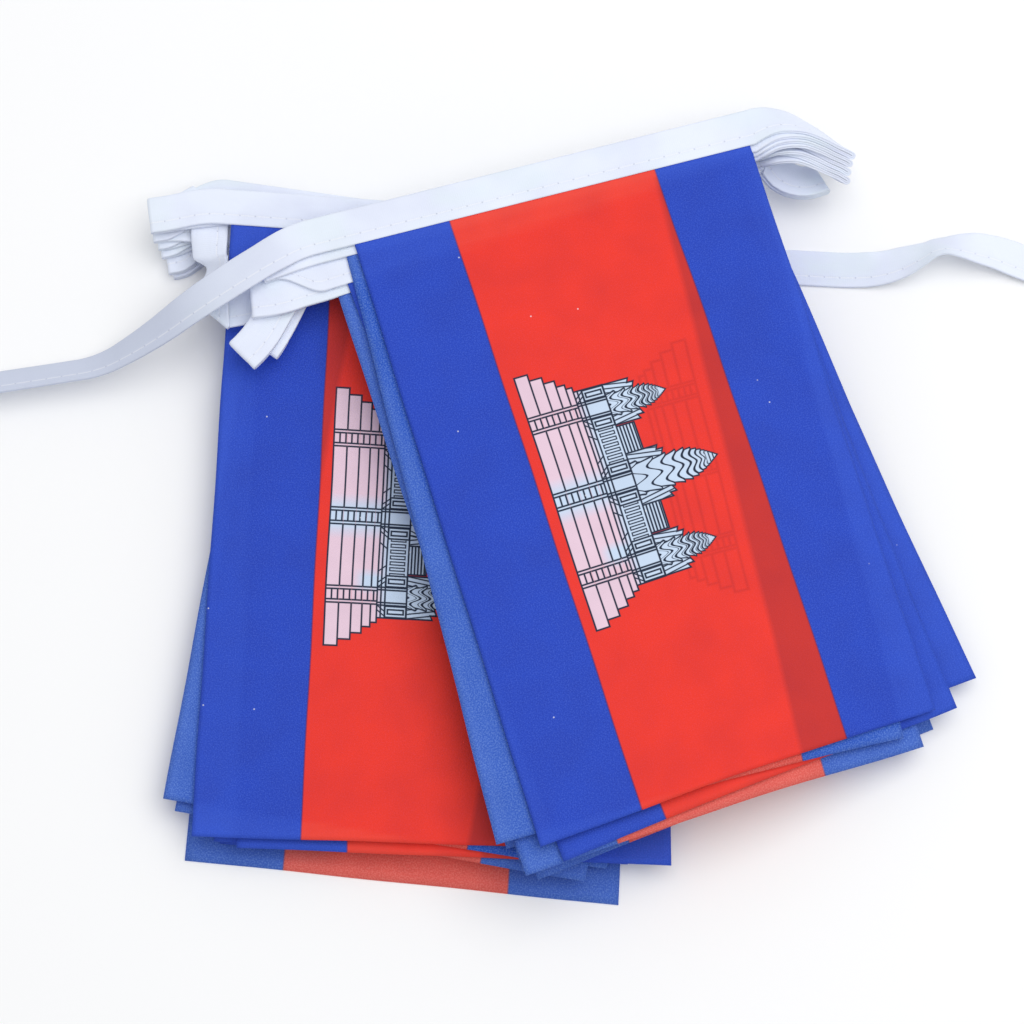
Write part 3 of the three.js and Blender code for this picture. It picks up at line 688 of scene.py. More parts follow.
# %% The strip between the piles
FOLD_REACH = 8.5  # mm from a fold's middle to where the tape is straight again
LOWER_FOLD_HEADING = 88.0
JOIN_BESIDE = dict(at=(-100.4, 82.5, 16.6), heading=90.0, roll=54.0)
JOIN_ROLLS = dict(leaving=32.0, entering=20.0)
UPPER_FOLD = dict(x=-103.5, y=104.0, level=10, heading=91.0, new_heading=176.0)
STACK_AFTER_FOLD = 14.0  # mm of the left stack's way that the fold takes up
TOP_LOOP = dict(fan=4.5, reach=2.6)


def top_loop():
    """The folded tape joins the left pile's stack, runs to its tip and comes back as the top layer."""
    across, first_heading, sense = pile_end("left", "left")
    start = tape_points("left", across, 0, tape_level("left", 1))
    frames = walk(start, first_heading, sense, "left_stack")
    last = part_of(frames, slice(-1, None))
    tip = dict(last, at=last["at"] + last["ahead"] * TOP_LOOP["reach"])
    first, fan = tape_side("left", 1, across), TOP_LOOP["fan"]
    side = first + (fan - first) * ease(frames["gone"] / frames["gone"][-1])
    joined = frames["gone"] >= STACK_AFTER_FOLD
    return np.concatenate([
        stations(part_of(frames, joined), side[joined], -PITCH, -1),
        stations(tip, fan, -PITCH, -1),
        hairpin(tip, fan, [-PITCH, 0], -1),
        stations(tip, fan, 0, 1),
        stations(part_of(frames, slice(1, None)), side[1:], 0, 1)[::-1],
    ])


def join_stations():
    """From the right pile's lowest layer to the left pile's top layer."""
    across, first_heading, sense = pile_end("right", "left")
    side = tape_side("right", FLAGS_PER_PILE, across)
    start = tape_points("right", across, side, tape_level("right", FLAGS_PER_PILE))
    frames = walk(start, first_heading, sense, "join_out")
    out = stations(part_of(frames, slice(1, None)), 0, 0, sense)
    reached = first_heading + sum(row[1] for row in WAYS["join_out"])
    lower_at = out[-1, 0] + flat(reached) * FOLD_REACH
    lower = slant_fold(lower_at, np.array([0, 0, -1.0]), reached, LOWER_FOLD_HEADING)
    upper_at = np.array([UPPER_FOLD["x"], UPPER_FOLD["y"], UPPER_FOLD["level"] * PITCH + SHEET / 2])
    upwards = flat(UPPER_FOLD["heading"])
    leaving = lower[-1, 0] + flat(LOWER_FOLD_HEADING) * FOLD_REACH
    square = stations(tape_frame(leaving, LOWER_FOLD_HEADING, 0, JOIN_ROLLS["leaving"], 1), 0, 0, 1)
    before_fold = [upper_at - far * FOLD_REACH * upwards for far in (2, 1)]
    run = curved_run(
        [leaving, np.array(JOIN_BESIDE["at"]), *before_fold],
        [LOWER_FOLD_HEADING, JOIN_BESIDE["heading"], UPPER_FOLD["heading"], UPPER_FOLD["heading"]],
        [JOIN_ROLLS["leaving"], JOIN_BESIDE["roll"], JOIN_ROLLS["entering"], 0.0],
    )
    upper = slant_fold(upper_at, np.array([0, 0, 1.0]), UPPER_FOLD["heading"], UPPER_FOLD["new_heading"])
    return np.concatenate([out, lower, square, run, upper, top_loop()])


strip_between = join_stations()
print("strip between the piles:", len(strip_between), "cross-sections")

# %% [markdown]
# ## The loose ends
# The two ends of the string are bare tape, cut off square. The left one slides off the top of the right
# pile, and the right one comes out from under the left pile and turns once on itself. Both are ways like
# those of the loops, because a spline would have to be fitted to look as limp. Then all the parts are
# joined, each with its own thickness: a loop springs open, and a loose end lies flattest.

# %% Loose ends and the whole way
RIGHT_END_START = (98.9, 86.6)  # mm, where the bare tape comes out from under the left pile
THICK_RUN = 12  # cross-sections over which one thickness eases into the next


def left_end():
    """The loose end that leaves the right pile's top layer at its left end."""
    across, first_heading, sense = pile_end("right", "left")
    start = tape_points("right", across, tape_side("right", 1, across), tape_level("right", 1))
    frames = walk(start, first_heading, sense, "left_end")
    return stations(part_of(frames, slice(1, None)), 0, 0, 1)[::-1]


def right_end():
    """The bare tape under the left pile, and the loose end that leaves it on the right."""
    first = tape_points("left", PILES["left"]["tape_from"], RIGHT_END_SIDE_START, 0)
    last = np.array([*RIGHT_END_START, SHEET / 2])
    under = np.degrees(np.arctan2(last[1] - first[1], last[0] - first[0]))
    frames = walk(last, under, 1, "right_end")
    start = stations(tape_frame(first, PILES["left"]["turn"], 0, 0, 1), 0, 0, 1)
    return np.concatenate([start, stations(frames, 0, 0, 1)])


parts_of_way = [
    (left_end(), THICK["loose"]),
    *pile_parts("right"),
    (strip_between, THICK["joined"]),
    *pile_parts("left"),
    (right_end(), THICK["loose"]),
]
way_of_tape = np.concatenate([part for part, _ in parts_of_way])
thickness = np.concatenate([np.full(len(part), share) for part, share in parts_of_way])
padded = np.pad(thickness, THICK_RUN // 2, mode="edge")
thickness = np.convolve(padded, np.full(THICK_RUN, 1 / THICK_RUN), "valid")[:len(way_of_tape)]
gone_along = np.linalg.norm(np.diff(way_of_tape[:, 0], axis=0), axis=1)
tape_length = gone_along.sum()
print("cross-sections:", len(way_of_tape), "length of tape in mm:", round(tape_length))

# %% [markdown]
# ## The tape's cross-section
# The tape is a ribbon about 25 mm wide that is folded in half lengthwise, so one edge is a round fold
# and the other is open, with two thin layers that hold the flags between them. A flat strip with some
# thickness would hide that, so the profile has a small notch in its open edge and swells between the
# seam and the fold. The profile is carried along the way: every point is the middle plus its two
# coordinates along the tape's own directions.

# %% Tape mesh
PROFILE = np.array([  # side from the middle, height off the middle, in mm
    (-6.3, 0.06), (-6.34, 0.48), (-5.7, 0.52), (-3.4, 0.44), (-2.2, 0.49), (0.6, 0.53), (3.6, 0.52),
    (5.4, 0.47), (6.08, 0.32), (6.3, 0.0), (6.08, -0.32), (5.4, -0.47), (3.6, -0.52), (0.6, -0.53),
    (-2.2, -0.49), (-3.4, -0.44), (-5.7, -0.52), (-6.34, -0.48), (-6.3, -0.06), (-5.8, 0.0),
])
FOLD_POINT = 9  # the profile's point at the round fold


def carried(middles, profile, thickness):
    """Each profile point at each station: middle, plus side times sideways, plus height times face,
    times the station's thickness."""
    at, side, face = (middles[:, None, k] for k in range(3))
    heights = profile[None, :, 1:] * thickness[:, None, None]
    return at + side * profile[None, :, :1] + face * heights


def tube_faces(count, around):
    """Quads between neighbouring rings, and the corners' own numbers along and around."""
    along, turn = np.meshgrid(np.arange(count - 1), np.arange(around), indexing="ij")
    corners = np.stack([
        np.stack([along + a, turn + b], -1) for a, b in ((0, 0), (0, 1), (1, 1), (1, 0))
    ], -2).reshape(-1, 4, 2)
    return corners[..., 0] * around + corners[..., 1] % around, corners


def add_tape():
    """The whole tape, pressed flat where its lowest layer meets the floor. Its UV map holds the share of
    the length, and the share of the way round: over the front to the fold, and back to the open edge."""
    rings = carried(way_of_tape, PROFILE, thickness) + SHIFT
    rings[..., 2] = np.maximum(rings[..., 2], 0)
    faces, corners = tube_faces(len(rings), len(PROFILE))
    along = np.concatenate([[0], np.cumsum(gone_along)]) / tape_length
    wrapped = np.concatenate([PROFILE, PROFILE[:1]])
    half = TAPE_WIDE / 2
    in_front = np.arange(len(wrapped)) <= FOLD_POINT
    turn = np.where(in_front, wrapped[:, 0] + half, 3 * half - wrapped[:, 0])
    turn = turn / (2 * TAPE_WIDE)
    turn[-2:] = (1.0, 1.0)
    places = np.stack([along[corners[..., 0]], turn[corners[..., 1]]], -1)
    tape = mesh_from("binding_tape_cloth", rings.reshape(-1, 3), faces, {"band": places})
    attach(tape, "root")
    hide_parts("binding_tape")
    return tape


tape = add_tape()
print("tape faces:", len(tape.data.polygons))

# %% [markdown]
# ## Shader sums
# A pattern in a shader is arithmetic on coordinates, and Blender spells arithmetic as Math nodes. Placing
# a hundred of them by hand is slow to write and hard to read. Here a socket is wrapped in a small class
# whose operators add the nodes, so a print reads like the formula that it is.

# %% Wires and paint
class Wire:
    """A number on its way through a shader. Python's operators on it add Math nodes."""

    def __init__(self, paint, socket):
        self.paint = paint
        self.socket = socket

    def math(self, operation, *others, clamp=False):
        """One Math node on this number and the others."""
        settings = {"operation": operation, "use_clamp": clamp}
        return self.paint.node("ShaderNodeMath", settings, dict(enumerate((self, *others))))

    def __add__(self, other):
        return self.math("ADD", other)

    def __sub__(self, other):
        return self.math("SUBTRACT", other)

    def __rsub__(self, other):
        return self.math("MULTIPLY_ADD", -1.0, other)

    def __mul__(self, other):
        return self.math("MULTIPLY", other)

    def __truediv__(self, other):
        return self.math("DIVIDE", other)

    def __abs__(self):
        return self.math("ABSOLUTE")

    __radd__ = __add__
    __rmul__ = __mul__


class Paint:
    """A material and the nodes that make it up."""

    def __init__(self, name):
        self.material = bpy.data.materials.new(name)
        self.material.use_nodes = True
        self.tree = self.material.node_tree
        self.shader = self.tree.nodes["Principled BSDF"]

    def feed(self, socket, value):
        """Links a wire to a socket, or sets the socket's own value."""
        if isinstance(value, Wire):
            self.tree.links.new(value.socket, socket)
        else:
            socket.default_value = value

    def node(self, kind, settings, inputs, output=0):
        """Any node: its settings come first, then the values or links of its sockets."""
        made = self.tree.nodes.new(kind)
        for name, value in settings.items():
            setattr(made, name, value)
        for name, value in inputs.items():
            self.feed(made.inputs[name], value)
        return Wire(self, made.outputs[output])

    def surface(self, **values):
        """Sets the shader's own sockets, named with underscores for spaces."""
        for name, value in values.items():
            self.feed(self.shader.inputs[name.replace("_", " ")], value)

    def mix(self, share, first, second):
        """Two colours, the second one by its share."""
        inputs = {0: share, 6: first, 7: second}
        return self.node("ShaderNodeMix", {"data_type": "RGBA"}, inputs, 2)

    def places(self, uv_map, wide, long):
        """A UV map's two numbers, stretched to millimetres."""
        uv = self.node("ShaderNodeUVMap", {"uv_map": uv_map}, {})
        parts = [self.node("ShaderNodeSeparateXYZ", {}, {0: uv}, k) for k in (0, 1)]
        return parts[0] * wide, parts[1] * long

    def noise(self, u, v, size, detail=2.0):
        """Soft random numbers about 0.5, on a plane in millimetres, with spots of about that size."""
        point = self.node("ShaderNodeCombineXYZ", {}, {0: u, 1: v})
        inputs = {"Vector": point, "Scale": 1 / size, "Detail": detail}
        return self.node("ShaderNodeTexNoise", {"noise_dimensions": "2D"}, inputs)

    def bump(self, height, millimetres):
        """A height from 0 to 1 that tilts the surface, as relief of that many millimetres would."""
        inputs = {"Height": height, "Distance": millimetres * MM, "Strength": 1.0}
        return self.node("ShaderNodeBump", {}, inputs)


def colour(red, green, blue):
    """A colour as the eye names it, from 0 to 255, in the straight numbers that light is summed in."""
    share = np.array([red, green, blue]) / 255
    straight = np.where(share <= 0.04045, share / 12.92, ((share + 0.055) / 1.055) ** 2.4)
    return (*straight.tolist(), 1.0)


print("the middle grey of the eye is", round(colour(128, 128, 128)[0], 3), "of white light")

# %% [markdown]
# ## Edges and lines
# Every printed shape is a distance here: below 0 inside it, and above 0 outside. A ramp across 0 fills
# the shape, and two ramps draw its outline. A hard step would be simpler, but ink spreads a little in
# cloth, and a step would flicker where it is finer than a pixel.

# %% Shapes from distances
SOFT = 0.22  # mm over which a printed edge blurs


def filled(distance, soft=SOFT):
    """1 where the distance to a shape is below 0."""
    return distance.math("MULTIPLY_ADD", -1 / soft, 0.5, clamp=True)


def lined(distance, wide, soft=SOFT):
    """1 on a shape's outline: where the distance is within half the line's width of 0."""
    return abs(distance).math("MULTIPLY_ADD", -1 / soft, 0.5 + wide / 2 / soft, clamp=True)


def beyond(value, edge, soft):
    """0 below the edge and 1 above it, evenly over the soft width between."""
    return value.math("MULTIPLY_ADD", 1 / soft, 0.5 - edge / soft, clamp=True)


def nearest(value, pitch):
    """Distance to the nearest whole multiple of the pitch."""
    return value.math("PINGPONG", pitch / 2)


def most(*wires):
    """The largest of several numbers, which joins masks."""
    return reduce(lambda one, other: one.math("MAXIMUM", other), wires)


def least(*wires):
    """The smallest of several numbers, which joins distances."""
    return reduce(lambda one, other: one.math("MINIMUM", other), wires)


def box_distance(u, w, middle, half_wide, half_long):
    """Below 0 inside a box: the larger of the two distances to its sides."""
    return most(abs(u - middle) - half_wide, w - half_long)


print("printed edges blur over", SOFT, "mm")

# %% [markdown]
# ## The print: terraces
# Each flag is printed on one side: two blue stripes along its long edges, a wide red one between them,
# and a temple with three towers, lying on its side. The print could be an image texture. It is drawn
# from named sizes instead: boxes in millimetres, whose edges become the dark outlines. Its lowest part
# is five terraces, each shorter than the one before, with three flights of stairs across them.

# %% Print: the terraces
BASE_STEPS = [  # from and to across the flag, and half their length, in mm
    (38.9, 43.5, 45.0), (43.5, 47.8, 42.7), (47.8, 51.5, 40.4), (51.5, 54.4, 38.1), (54.4, 56.5, 36.5),
]
TEMPLE_MIDDLE = 104.6  # mm down the flag
TOWERS_APART = 27.3
OUTLINE = 0.62
STAIRS = dict(outer=2.9, inner=1.8, rung=2.05)


def terraces(u, w, line=OUTLINE, soft=SOFT):
    """The stepped base and the three flights of stairs across it. Gives its mask and its ink."""
    boxes = [
        box_distance(u, w, (start + end) / 2, (end - start) / 2, half)
        for start, end, half in BASE_STEPS
    ]
    to_tower = least(w, abs(w - TOWERS_APART))
    stairs = filled(to_tower - STAIRS["outer"])
    rungs = lined(nearest(u - BASE_STEPS[0][0], STAIRS["rung"]), line, soft)
    rails = most(*(lined(to_tower - STAIRS[side], line, soft) for side in ("outer", "inner")))
    rungs = rungs * filled(to_tower - STAIRS["inner"])
    mask = filled(least(*boxes))
    outlines = most(*(lined(box, line, soft) for box in boxes)) * (1 - stairs)
    first = lined(u - BASE_STEPS[0][0], line, soft) * filled(w - BASE_STEPS[0][2])
    return mask, most(outlines, first, most(rails, rungs) * mask)


print("terraces:", len(BASE_STEPS))

# %% [markdown]
# ## The print: towers
# A tower is a pointed bud of curling scales that stands on wide, slanting eaves. Drawing the scales one
# by one would take a shape for each of them. They are counted by a logarithm instead, because each is
# longer than the next by the same share. The outer towers are alike and stand evenly apart, so one
# drawing on the distance to the nearer axis gives both.

# %% Print: the towers
FINE_LINE = 0.46
NEAR_TIP = 0.01  # mm, the least distance to a tip that is used
SIDE_TOWER = dict(start=66.6, tip=87.3, half=3.9, round=8.5, wing=7.4, wing_end=75.5, doubled=1.0)
MAIN_TOWER = dict(start=66.6, tip=96.6, half=5.5, round=12.5, wing=9.3, wing_end=77.5, doubled=0.0)
SCALES = dict(
    growth=1.26, curl=0.18, slope=0.07, spike=1.1, tip=3.2, blunt=0.3,
    line=0.46, line_share=0.2, second=0.36, second_line=0.4,
)
EAVES = dict(pitch=1.5, lean=0.16, slant=0.45, further=2.2, narrower=1.5, line=0.8)
TIP_RINGS = dict(start=91.8, pitch=1.25)


def tower_scales(left, to_axis, shape):
    """A tower's point. Its half width is a sine of the distance left to the tip. Across that width the
    scales' edges wave once, and each scale is a fixed share longer than the one nearer the tip, so their
    number is a logarithm. Gives the distance to the outline, with a spike at each scale, and the ink."""
    half = (left * (np.pi / 2 / shape["round"])).math("MINIMUM", np.pi / 2).math("SINE") * shape["half"]
    share = to_axis / (half + SCALES["blunt"])
    curl = (1 - (share * (2 * np.pi)).math("COSINE")) * (SCALES["curl"] / 2)
    tiers = (left / (1 + curl + share * SCALES["slope"])).math("LOGARITHM", SCALES["growth"])
    one_tier = left * np.log(SCALES["growth"])
    line = (one_tier * SCALES["line_share"]).math("MINIMUM", SCALES["line"])
    edges = filled(nearest(tiers, 1.0) * one_tier - line)
    second = nearest(tiers - SCALES["second"], 1.0) * one_tier - line * SCALES["second_line"]
    second = filled(second) * shape["doubled"]
    highest = (left * (SCALES["spike"] / shape["round"])).math("MINIMUM", SCALES["spike"])
    spikes = (1 - tiers.math("FRACT")) * highest
    in_scales = beyond(left, SCALES["tip"], SOFT)
    return to_axis - half - spikes + SCALES["spike"] / 2, most(edges, second) * in_scales


def tower_eaves(u, to_axis, shape):
    """Distance to a tower's eaves: a wide box whose ends slant, in two steps."""
    middle, half = (shape["start"] + shape["wing_end"]) / 2, (shape["wing_end"] - shape["start"]) / 2
    beside = to_axis - shape["wing"]
    slanting = u - beside * EAVES["slant"]
    upper = most(abs(slanting - middle) - half, beside)
    lower = most(abs(slanting - middle - EAVES["further"]) - half, beside + EAVES["narrower"])
    return least(upper, lower)


def tower_top(u, to_axis, shape):
    """A tower's mask and ink: scales that point to its tip, rings below the tip, and eaves with lines
    along them."""
    start = shape["start"] - u
    left = (shape["tip"] - u).math("MAXIMUM", NEAR_TIP)
    point, scales = tower_scales(left, to_axis, shape)
    point = most(point, start, u - shape["tip"])
    eaves = most(tower_eaves(u, to_axis, shape), start)
    in_point = filled(point)
    rings = lined(nearest(u - TIP_RINGS["start"], TIP_RINGS["pitch"]), FINE_LINE)
    rings = rings * filled(TIP_RINGS["start"] - u)
    scales = most(scales * filled(u - TIP_RINGS["start"]), rings) * in_point
    along = lined(nearest(to_axis + u * EAVES["lean"], EAVES["pitch"]), OUTLINE * EAVES["line"])
    along = along * filled(eaves) * (1 - in_point)
    both = least(point, eaves)
    return filled(both), most(scales, along, lined(point, OUTLINE), lined(both, OUTLINE))


rows_of_scales = np.log((SIDE_TOWER["tip"] - SIDE_TOWER["start"]) / SCALES["tip"]) / np.log(SCALES["growth"])
print("rows of scales on a side tower:", round(rows_of_scales))

# %% [markdown]
# ## The print: galleries
# Between the towers run walls with narrow windows, and in front of each tower is a door between two
# wings, under a row of brackets. Each could be placed on its own. Here they repeat on two distances:
# doors on the one to the nearest tower's axis, windows on the one to the middle of a wall.

# %% Print: the galleries and the whole temple
GALLERY = dict(start=56.5, end=66.6, half_long=34.8)
BRACKETS = dict(lines=(0.0, 1.3, 2.7), ticks=(3.1, 4.7, 8.6), lean=0.8)
WINDOWS = dict(middle=62.9, half_wide=2.5, pitch=2.05, half_slot=0.52, reach=6.2)
BLOCKS = dict(middle=69.4, half_wide=3.4, reach=5.6, pitch=2.25, half_rib=0.55)
DOOR = dict(panel=2.2, rail=3.1, side=5.3)
WINGS = [(1.9, 1.1), (0.75, 0.2)]  # half width of a wing, and how far it stands out past the windows


def galleries(u, w):
    """The walls with their windows between the towers, and each tower's door between two wings."""
    to_tower = least(w, abs(w - TOWERS_APART))
    to_wall = abs(w - TOWERS_APART / 2)
    middle = (GALLERY["start"] + GALLERY["end"]) / 2
    half_wide = (GALLERY["end"] - GALLERY["start"]) / 2
    whole = box_distance(u, w, middle, half_wide, GALLERY["half_long"])
    blocks = box_distance(u, to_wall, BLOCKS["middle"], BLOCKS["half_wide"], BLOCKS["reach"])
    both = least(whole, blocks)
    across = nearest(to_wall, WINDOWS["pitch"])
    slots = box_distance(u, across, WINDOWS["middle"], WINDOWS["half_wide"], WINDOWS["half_slot"])
    slots = lined(slots, FINE_LINE) * filled(to_wall - WINDOWS["reach"])
    ribs = lined(nearest(u - BLOCKS["middle"], BLOCKS["pitch"]) - BLOCKS["half_rib"], OUTLINE)
    ribs = ribs * filled(blocks)
    door = [lined(to_tower - DOOR[name], OUTLINE) for name in ("panel", "rail")]
    sides = abs(to_tower - DOOR["side"])
    wings = [
        lined(box_distance(u, sides, WINDOWS["middle"], WINDOWS["half_wide"] + out, half), OUTLINE)
        for half, out in WINGS
    ]
    far = u - GALLERY["start"]
    rows = [lined(far - line, OUTLINE) for line in BRACKETS["lines"]]
    in_brackets = filled(abs(far - BRACKETS["lines"][-1] / 2) - BRACKETS["lines"][-1] / 2)
    leaning = to_tower - far * BRACKETS["lean"]
    ticks = [lined(leaning - tick, OUTLINE) * in_brackets for tick in BRACKETS["ticks"]]
    ink = most(*door, *wings, *rows, *ticks) * filled(whole)
    return filled(both), most(ink, slots, ribs, lined(both, OUTLINE))


def temple(u, v):
    """The whole temple's mask and ink, from its parts. The towers hide what is behind them."""
    w = abs(v - TEMPLE_MIDDLE)
    base, base_ink = terraces(u, w)
    walls, wall_ink = galleries(u, w)
    sides, side_ink = tower_top(u, abs(w - TOWERS_APART), SIDE_TOWER)
    main, main_ink = tower_top(u, w, MAIN_TOWER)
    low_ink = most(base_ink, wall_ink) * (1 - most(sides, main))
    return most(base, walls, sides, main), most(low_ink, side_ink, main_ink)


print("temple:", round(MAIN_TOWER["tip"] - BASE_STEPS[0][0]), "mm high on the flag")

# %% [markdown]
# ## What both sides of the cloth share
# Both sides show one drawing: stripes, a temple on a pale ground, and the threads of the weave. They
# could be two separate materials from start to end, but then a change to one would be missed in the
# other. What they share is written once, and the sides differ in their colours and their finish.

# %% Material: shared by both sides
STRIPE_ENDS = (34.8, 107.4)  # the red stripe, across the flag, in mm
STRIPE_MIDDLE = sum(STRIPE_ENDS) / 2
STRIPE_HALF = (STRIPE_ENDS[1] - STRIPE_ENDS[0]) / 2
STRIPE_SOFT = 0.4  # mm
STRIPE_LINE = dict(wide=0.45, share=0.75, ink=colour(52, 38, 82))
INK = colour(34, 46, 66)
PINK_WHITE = colour(236, 206, 222)
BLUE_WHITE = colour(204, 222, 244)
BLUISH_MIDDLE = dict(half=5.5, soft=5.0)  # mm
BLUISH_FROM = dict(across=57.5, soft=3.0)
BLUISH_PATCH = dict(down=127.0, half=3.0, soft=3.0, across=50.0, across_soft=4.0)
THREAD = 0.46  # mm from one thread of the weave to the next
GRAIN_SOFT = 0.3  # share of the grain's range over which a thread fades
SHEEN_ROUGHNESS = 0.5


def print_places(paint, uv_map):
    """Millimetres across the print and down it."""
    across, up = paint.places(uv_map, PRINT_WIDE, PRINT_LONG)
    return across, PRINT_LONG - up


def layers_below(paint):
    """How much cloth lies below, from 0 to 1, as the flag's mesh keeps it."""
    return paint.node("ShaderNodeAttribute", {"attribute_name": "under"}, {}, "Fac")


def stripes(paint, u, red, blue):
    """Blue, red and blue across the flag, with a thin dark line where two inks meet. Gives the red
    stripe's mask and the colour."""
    to_red = abs(u - STRIPE_MIDDLE) - STRIPE_HALF
    is_red = filled(to_red, STRIPE_SOFT)
    line = lined(to_red, STRIPE_LINE["wide"], STRIPE_SOFT) * STRIPE_LINE["share"]
    return is_red, paint.mix(line, paint.mix(is_red, blue, red), STRIPE_LINE["ink"])


def temple_white(paint, u, v):
    """The temple's pale ground: pinkish on the terraces, bluish near the middle and in the towers."""
    near_middle = filled(abs(v - TEMPLE_MIDDLE) - BLUISH_MIDDLE["half"], BLUISH_MIDDLE["soft"])
    high = beyond(u, BLUISH_FROM["across"], BLUISH_FROM["soft"])
    patch = filled(abs(v - BLUISH_PATCH["down"]) - BLUISH_PATCH["half"], BLUISH_PATCH["soft"])
    patch = patch * beyond(u, BLUISH_PATCH["across"], BLUISH_PATCH["across_soft"])
    return paint.mix(most(near_middle, high, patch), PINK_WHITE, BLUE_WHITE)


def weave(u, v):
    """Height of a plain weave, 0 to 1: warp threads and weft threads pass over each other in turn."""
    across = (u * (np.pi / THREAD)).math("SINE")
    down = (v * (np.pi / THREAD)).math("SINE")
    return across * down * 0.5 + 0.5


def threads(grain, limit):
    """1 on the threads whose grain lies above a limit."""
    return beyond(grain, limit, GRAIN_SOFT)


def finish_cloth(paint, base, u, v, grain, finish):
    """Colour, roughness from the grain, and a bump of the weave and the grain."""
    height = weave(u, v) * finish["weave"] + grain * finish["grain"]
    paint.surface(
        Base_Color=base,
        Roughness=finish["rough"] + grain * finish["rough_grain"],
        Normal=paint.bump(height, finish["depth"]),
        Sheen_Weight=finish["sheen"],
        Sheen_Roughness=SHEEN_ROUGHNESS,
        Specular_IOR_Level=finish["gloss"],
    )
    print(paint.material.name, "has", len(paint.tree.nodes), "nodes")
    return paint.material


print("red stripe:", round(2 * STRIPE_HALF, 1), "mm wide, threads", THREAD, "mm apart")

# %% [markdown]
# ## The printed side
# The print side is a closely woven polyester with a satin touch. Its inks are strong, and a fine grain
# of lighter threads shows in the blue. The cloth is thin, so the next flag's stripes and outlines darken
# it from below. A see-through shader would show this as well, but it would be slow and noisy, so the
# second UV map places the next flag's print under this one, and it is mixed in as a faint shade.

# %% Material: printed side
BLUE = colour(40, 73, 191)
RED = colour(240, 58, 42)
PRINT_GRAIN = dict(size=0.45, detail=1.0, limit=0.64)
PALER_THREADS = dict(blue=0.16, less_on_red=0.12, colour=colour(120, 150, 235))
DARKER_THREADS = dict(blue=0.24, less_on_red=0.16, colour=colour(20, 30, 110))
COVERED = dict(limit=0.3, soft=0.1, less_on_temple=0.85)
BELOW_BLUE = dict(soft=2.0, share=0.48, colour=colour(145, 45, 50))
BELOW_INK = dict(line=0.7, soft=0.9, share=0.24, colour=colour(110, 30, 40))
# painted light: paler where no cloth lies below, as light comes back through the thin cloth from the floor
BARE = dict(share=0.2, red=colour(255, 120, 100), blue=colour(80, 120, 240))
PRINT_CLOUDS = dict(size=16.0, share=0.2, less=0.06, colour=colour(40, 20, 60))
LINT = dict(apart=17.0, half=0.22, soft=0.3, absent=0.9, absent_soft=0.02, share=0.8)
LINT_WHITE = colour(235, 238, 245)
PRINT_FINISH = dict(
    rough=0.62, rough_grain=0.16, weave=0.5, grain=0.6, depth=0.06, sheen=0.04, gloss=0.16,
)


def lint(paint, u, v):
    """A few pale specks of lint: the nearest points of a wide random net, in a few of its cells."""
    point = paint.node("ShaderNodeCombineXYZ", {}, {0: u, 1: v})
    settings = {"voronoi_dimensions": "2D"}
    inputs = {"Vector": point, "Scale": 1 / LINT["apart"]}
    far = paint.node("ShaderNodeTexVoronoi", settings, inputs, "Distance")
    chance = paint.node("ShaderNodeTexVoronoi", settings, inputs, "Color")
    chance = paint.node("ShaderNodeSeparateColor", {}, {0: chance})
    speck = filled(far * LINT["apart"] - LINT["half"], LINT["soft"])
    return speck * beyond(chance, LINT["absent"], LINT["absent_soft"])


def from_below(paint, base, is_red, mask, under):
    """Darkens the red where the next flag's blue and its outlines lie under it, and pales the cloth
    with painted light where nothing does, as light comes back through it from the floor."""
    u, v = print_places(paint, "print_below")
    over_blue = 1 - filled(abs(u - STRIPE_MIDDLE) - STRIPE_HALF, BELOW_BLUE["soft"])
    _, ink = terraces(u, abs(v - TEMPLE_MIDDLE), BELOW_INK["line"], BELOW_INK["soft"])
    covered = beyond(under, COVERED["limit"], COVERED["soft"]) * (1 - mask * COVERED["less_on_temple"])
    shown = is_red * covered
    base = paint.mix(over_blue * shown * BELOW_BLUE["share"], base, BELOW_BLUE["colour"])
    base = paint.mix(ink * shown * BELOW_INK["share"], base, BELOW_INK["colour"])
    # painted light through the thin cloth where nothing lies under it
    return paint.mix((1 - under) * BARE["share"], base, paint.mix(is_red, BARE["blue"], BARE["red"]))


def printed_side():
    """Stripes with a grain of single threads, the temple on them, what shows from below, and lint."""
    paint = Paint("flag_print_side")
    u, v = print_places(paint, "print")
    is_red, base = stripes(paint, u, RED, BLUE)
    grain = paint.noise(u, v, PRINT_GRAIN["size"], PRINT_GRAIN["detail"])
    for seen, kind in ((grain, PALER_THREADS), (1 - grain, DARKER_THREADS)):
        share = threads(seen, PRINT_GRAIN["limit"]) * (kind["blue"] - is_red * kind["less_on_red"])
        base = paint.mix(share, base, kind["colour"])
    mask, ink = temple(u, v)
    base = paint.mix(mask, base, temple_white(paint, u, v))
    base = paint.mix(ink, base, INK)
    base = from_below(paint, base, is_red, mask, layers_below(paint))
    clouds = paint.noise(u, v, PRINT_CLOUDS["size"])
    clouds = clouds.math("MULTIPLY_ADD", PRINT_CLOUDS["share"], -PRINT_CLOUDS["less"], clamp=True)
    base = paint.mix(clouds, base, PRINT_CLOUDS["colour"])
    base = paint.mix(lint(paint, u, v) * LINT["share"], base, LINT_WHITE)
    return finish_cloth(paint, base, u, v, grain, PRINT_FINISH)


printed = printed_side()

# %% [markdown]
# ## The other side
# On the other side of the cloth the ink has soaked through only in part. The same stripes show, mirrored
# and paler, with white threads between them. Mixing the printed side with white would wash it out
# evenly. Here a grain decides where a thread stays white, which is what gives the chalky look.

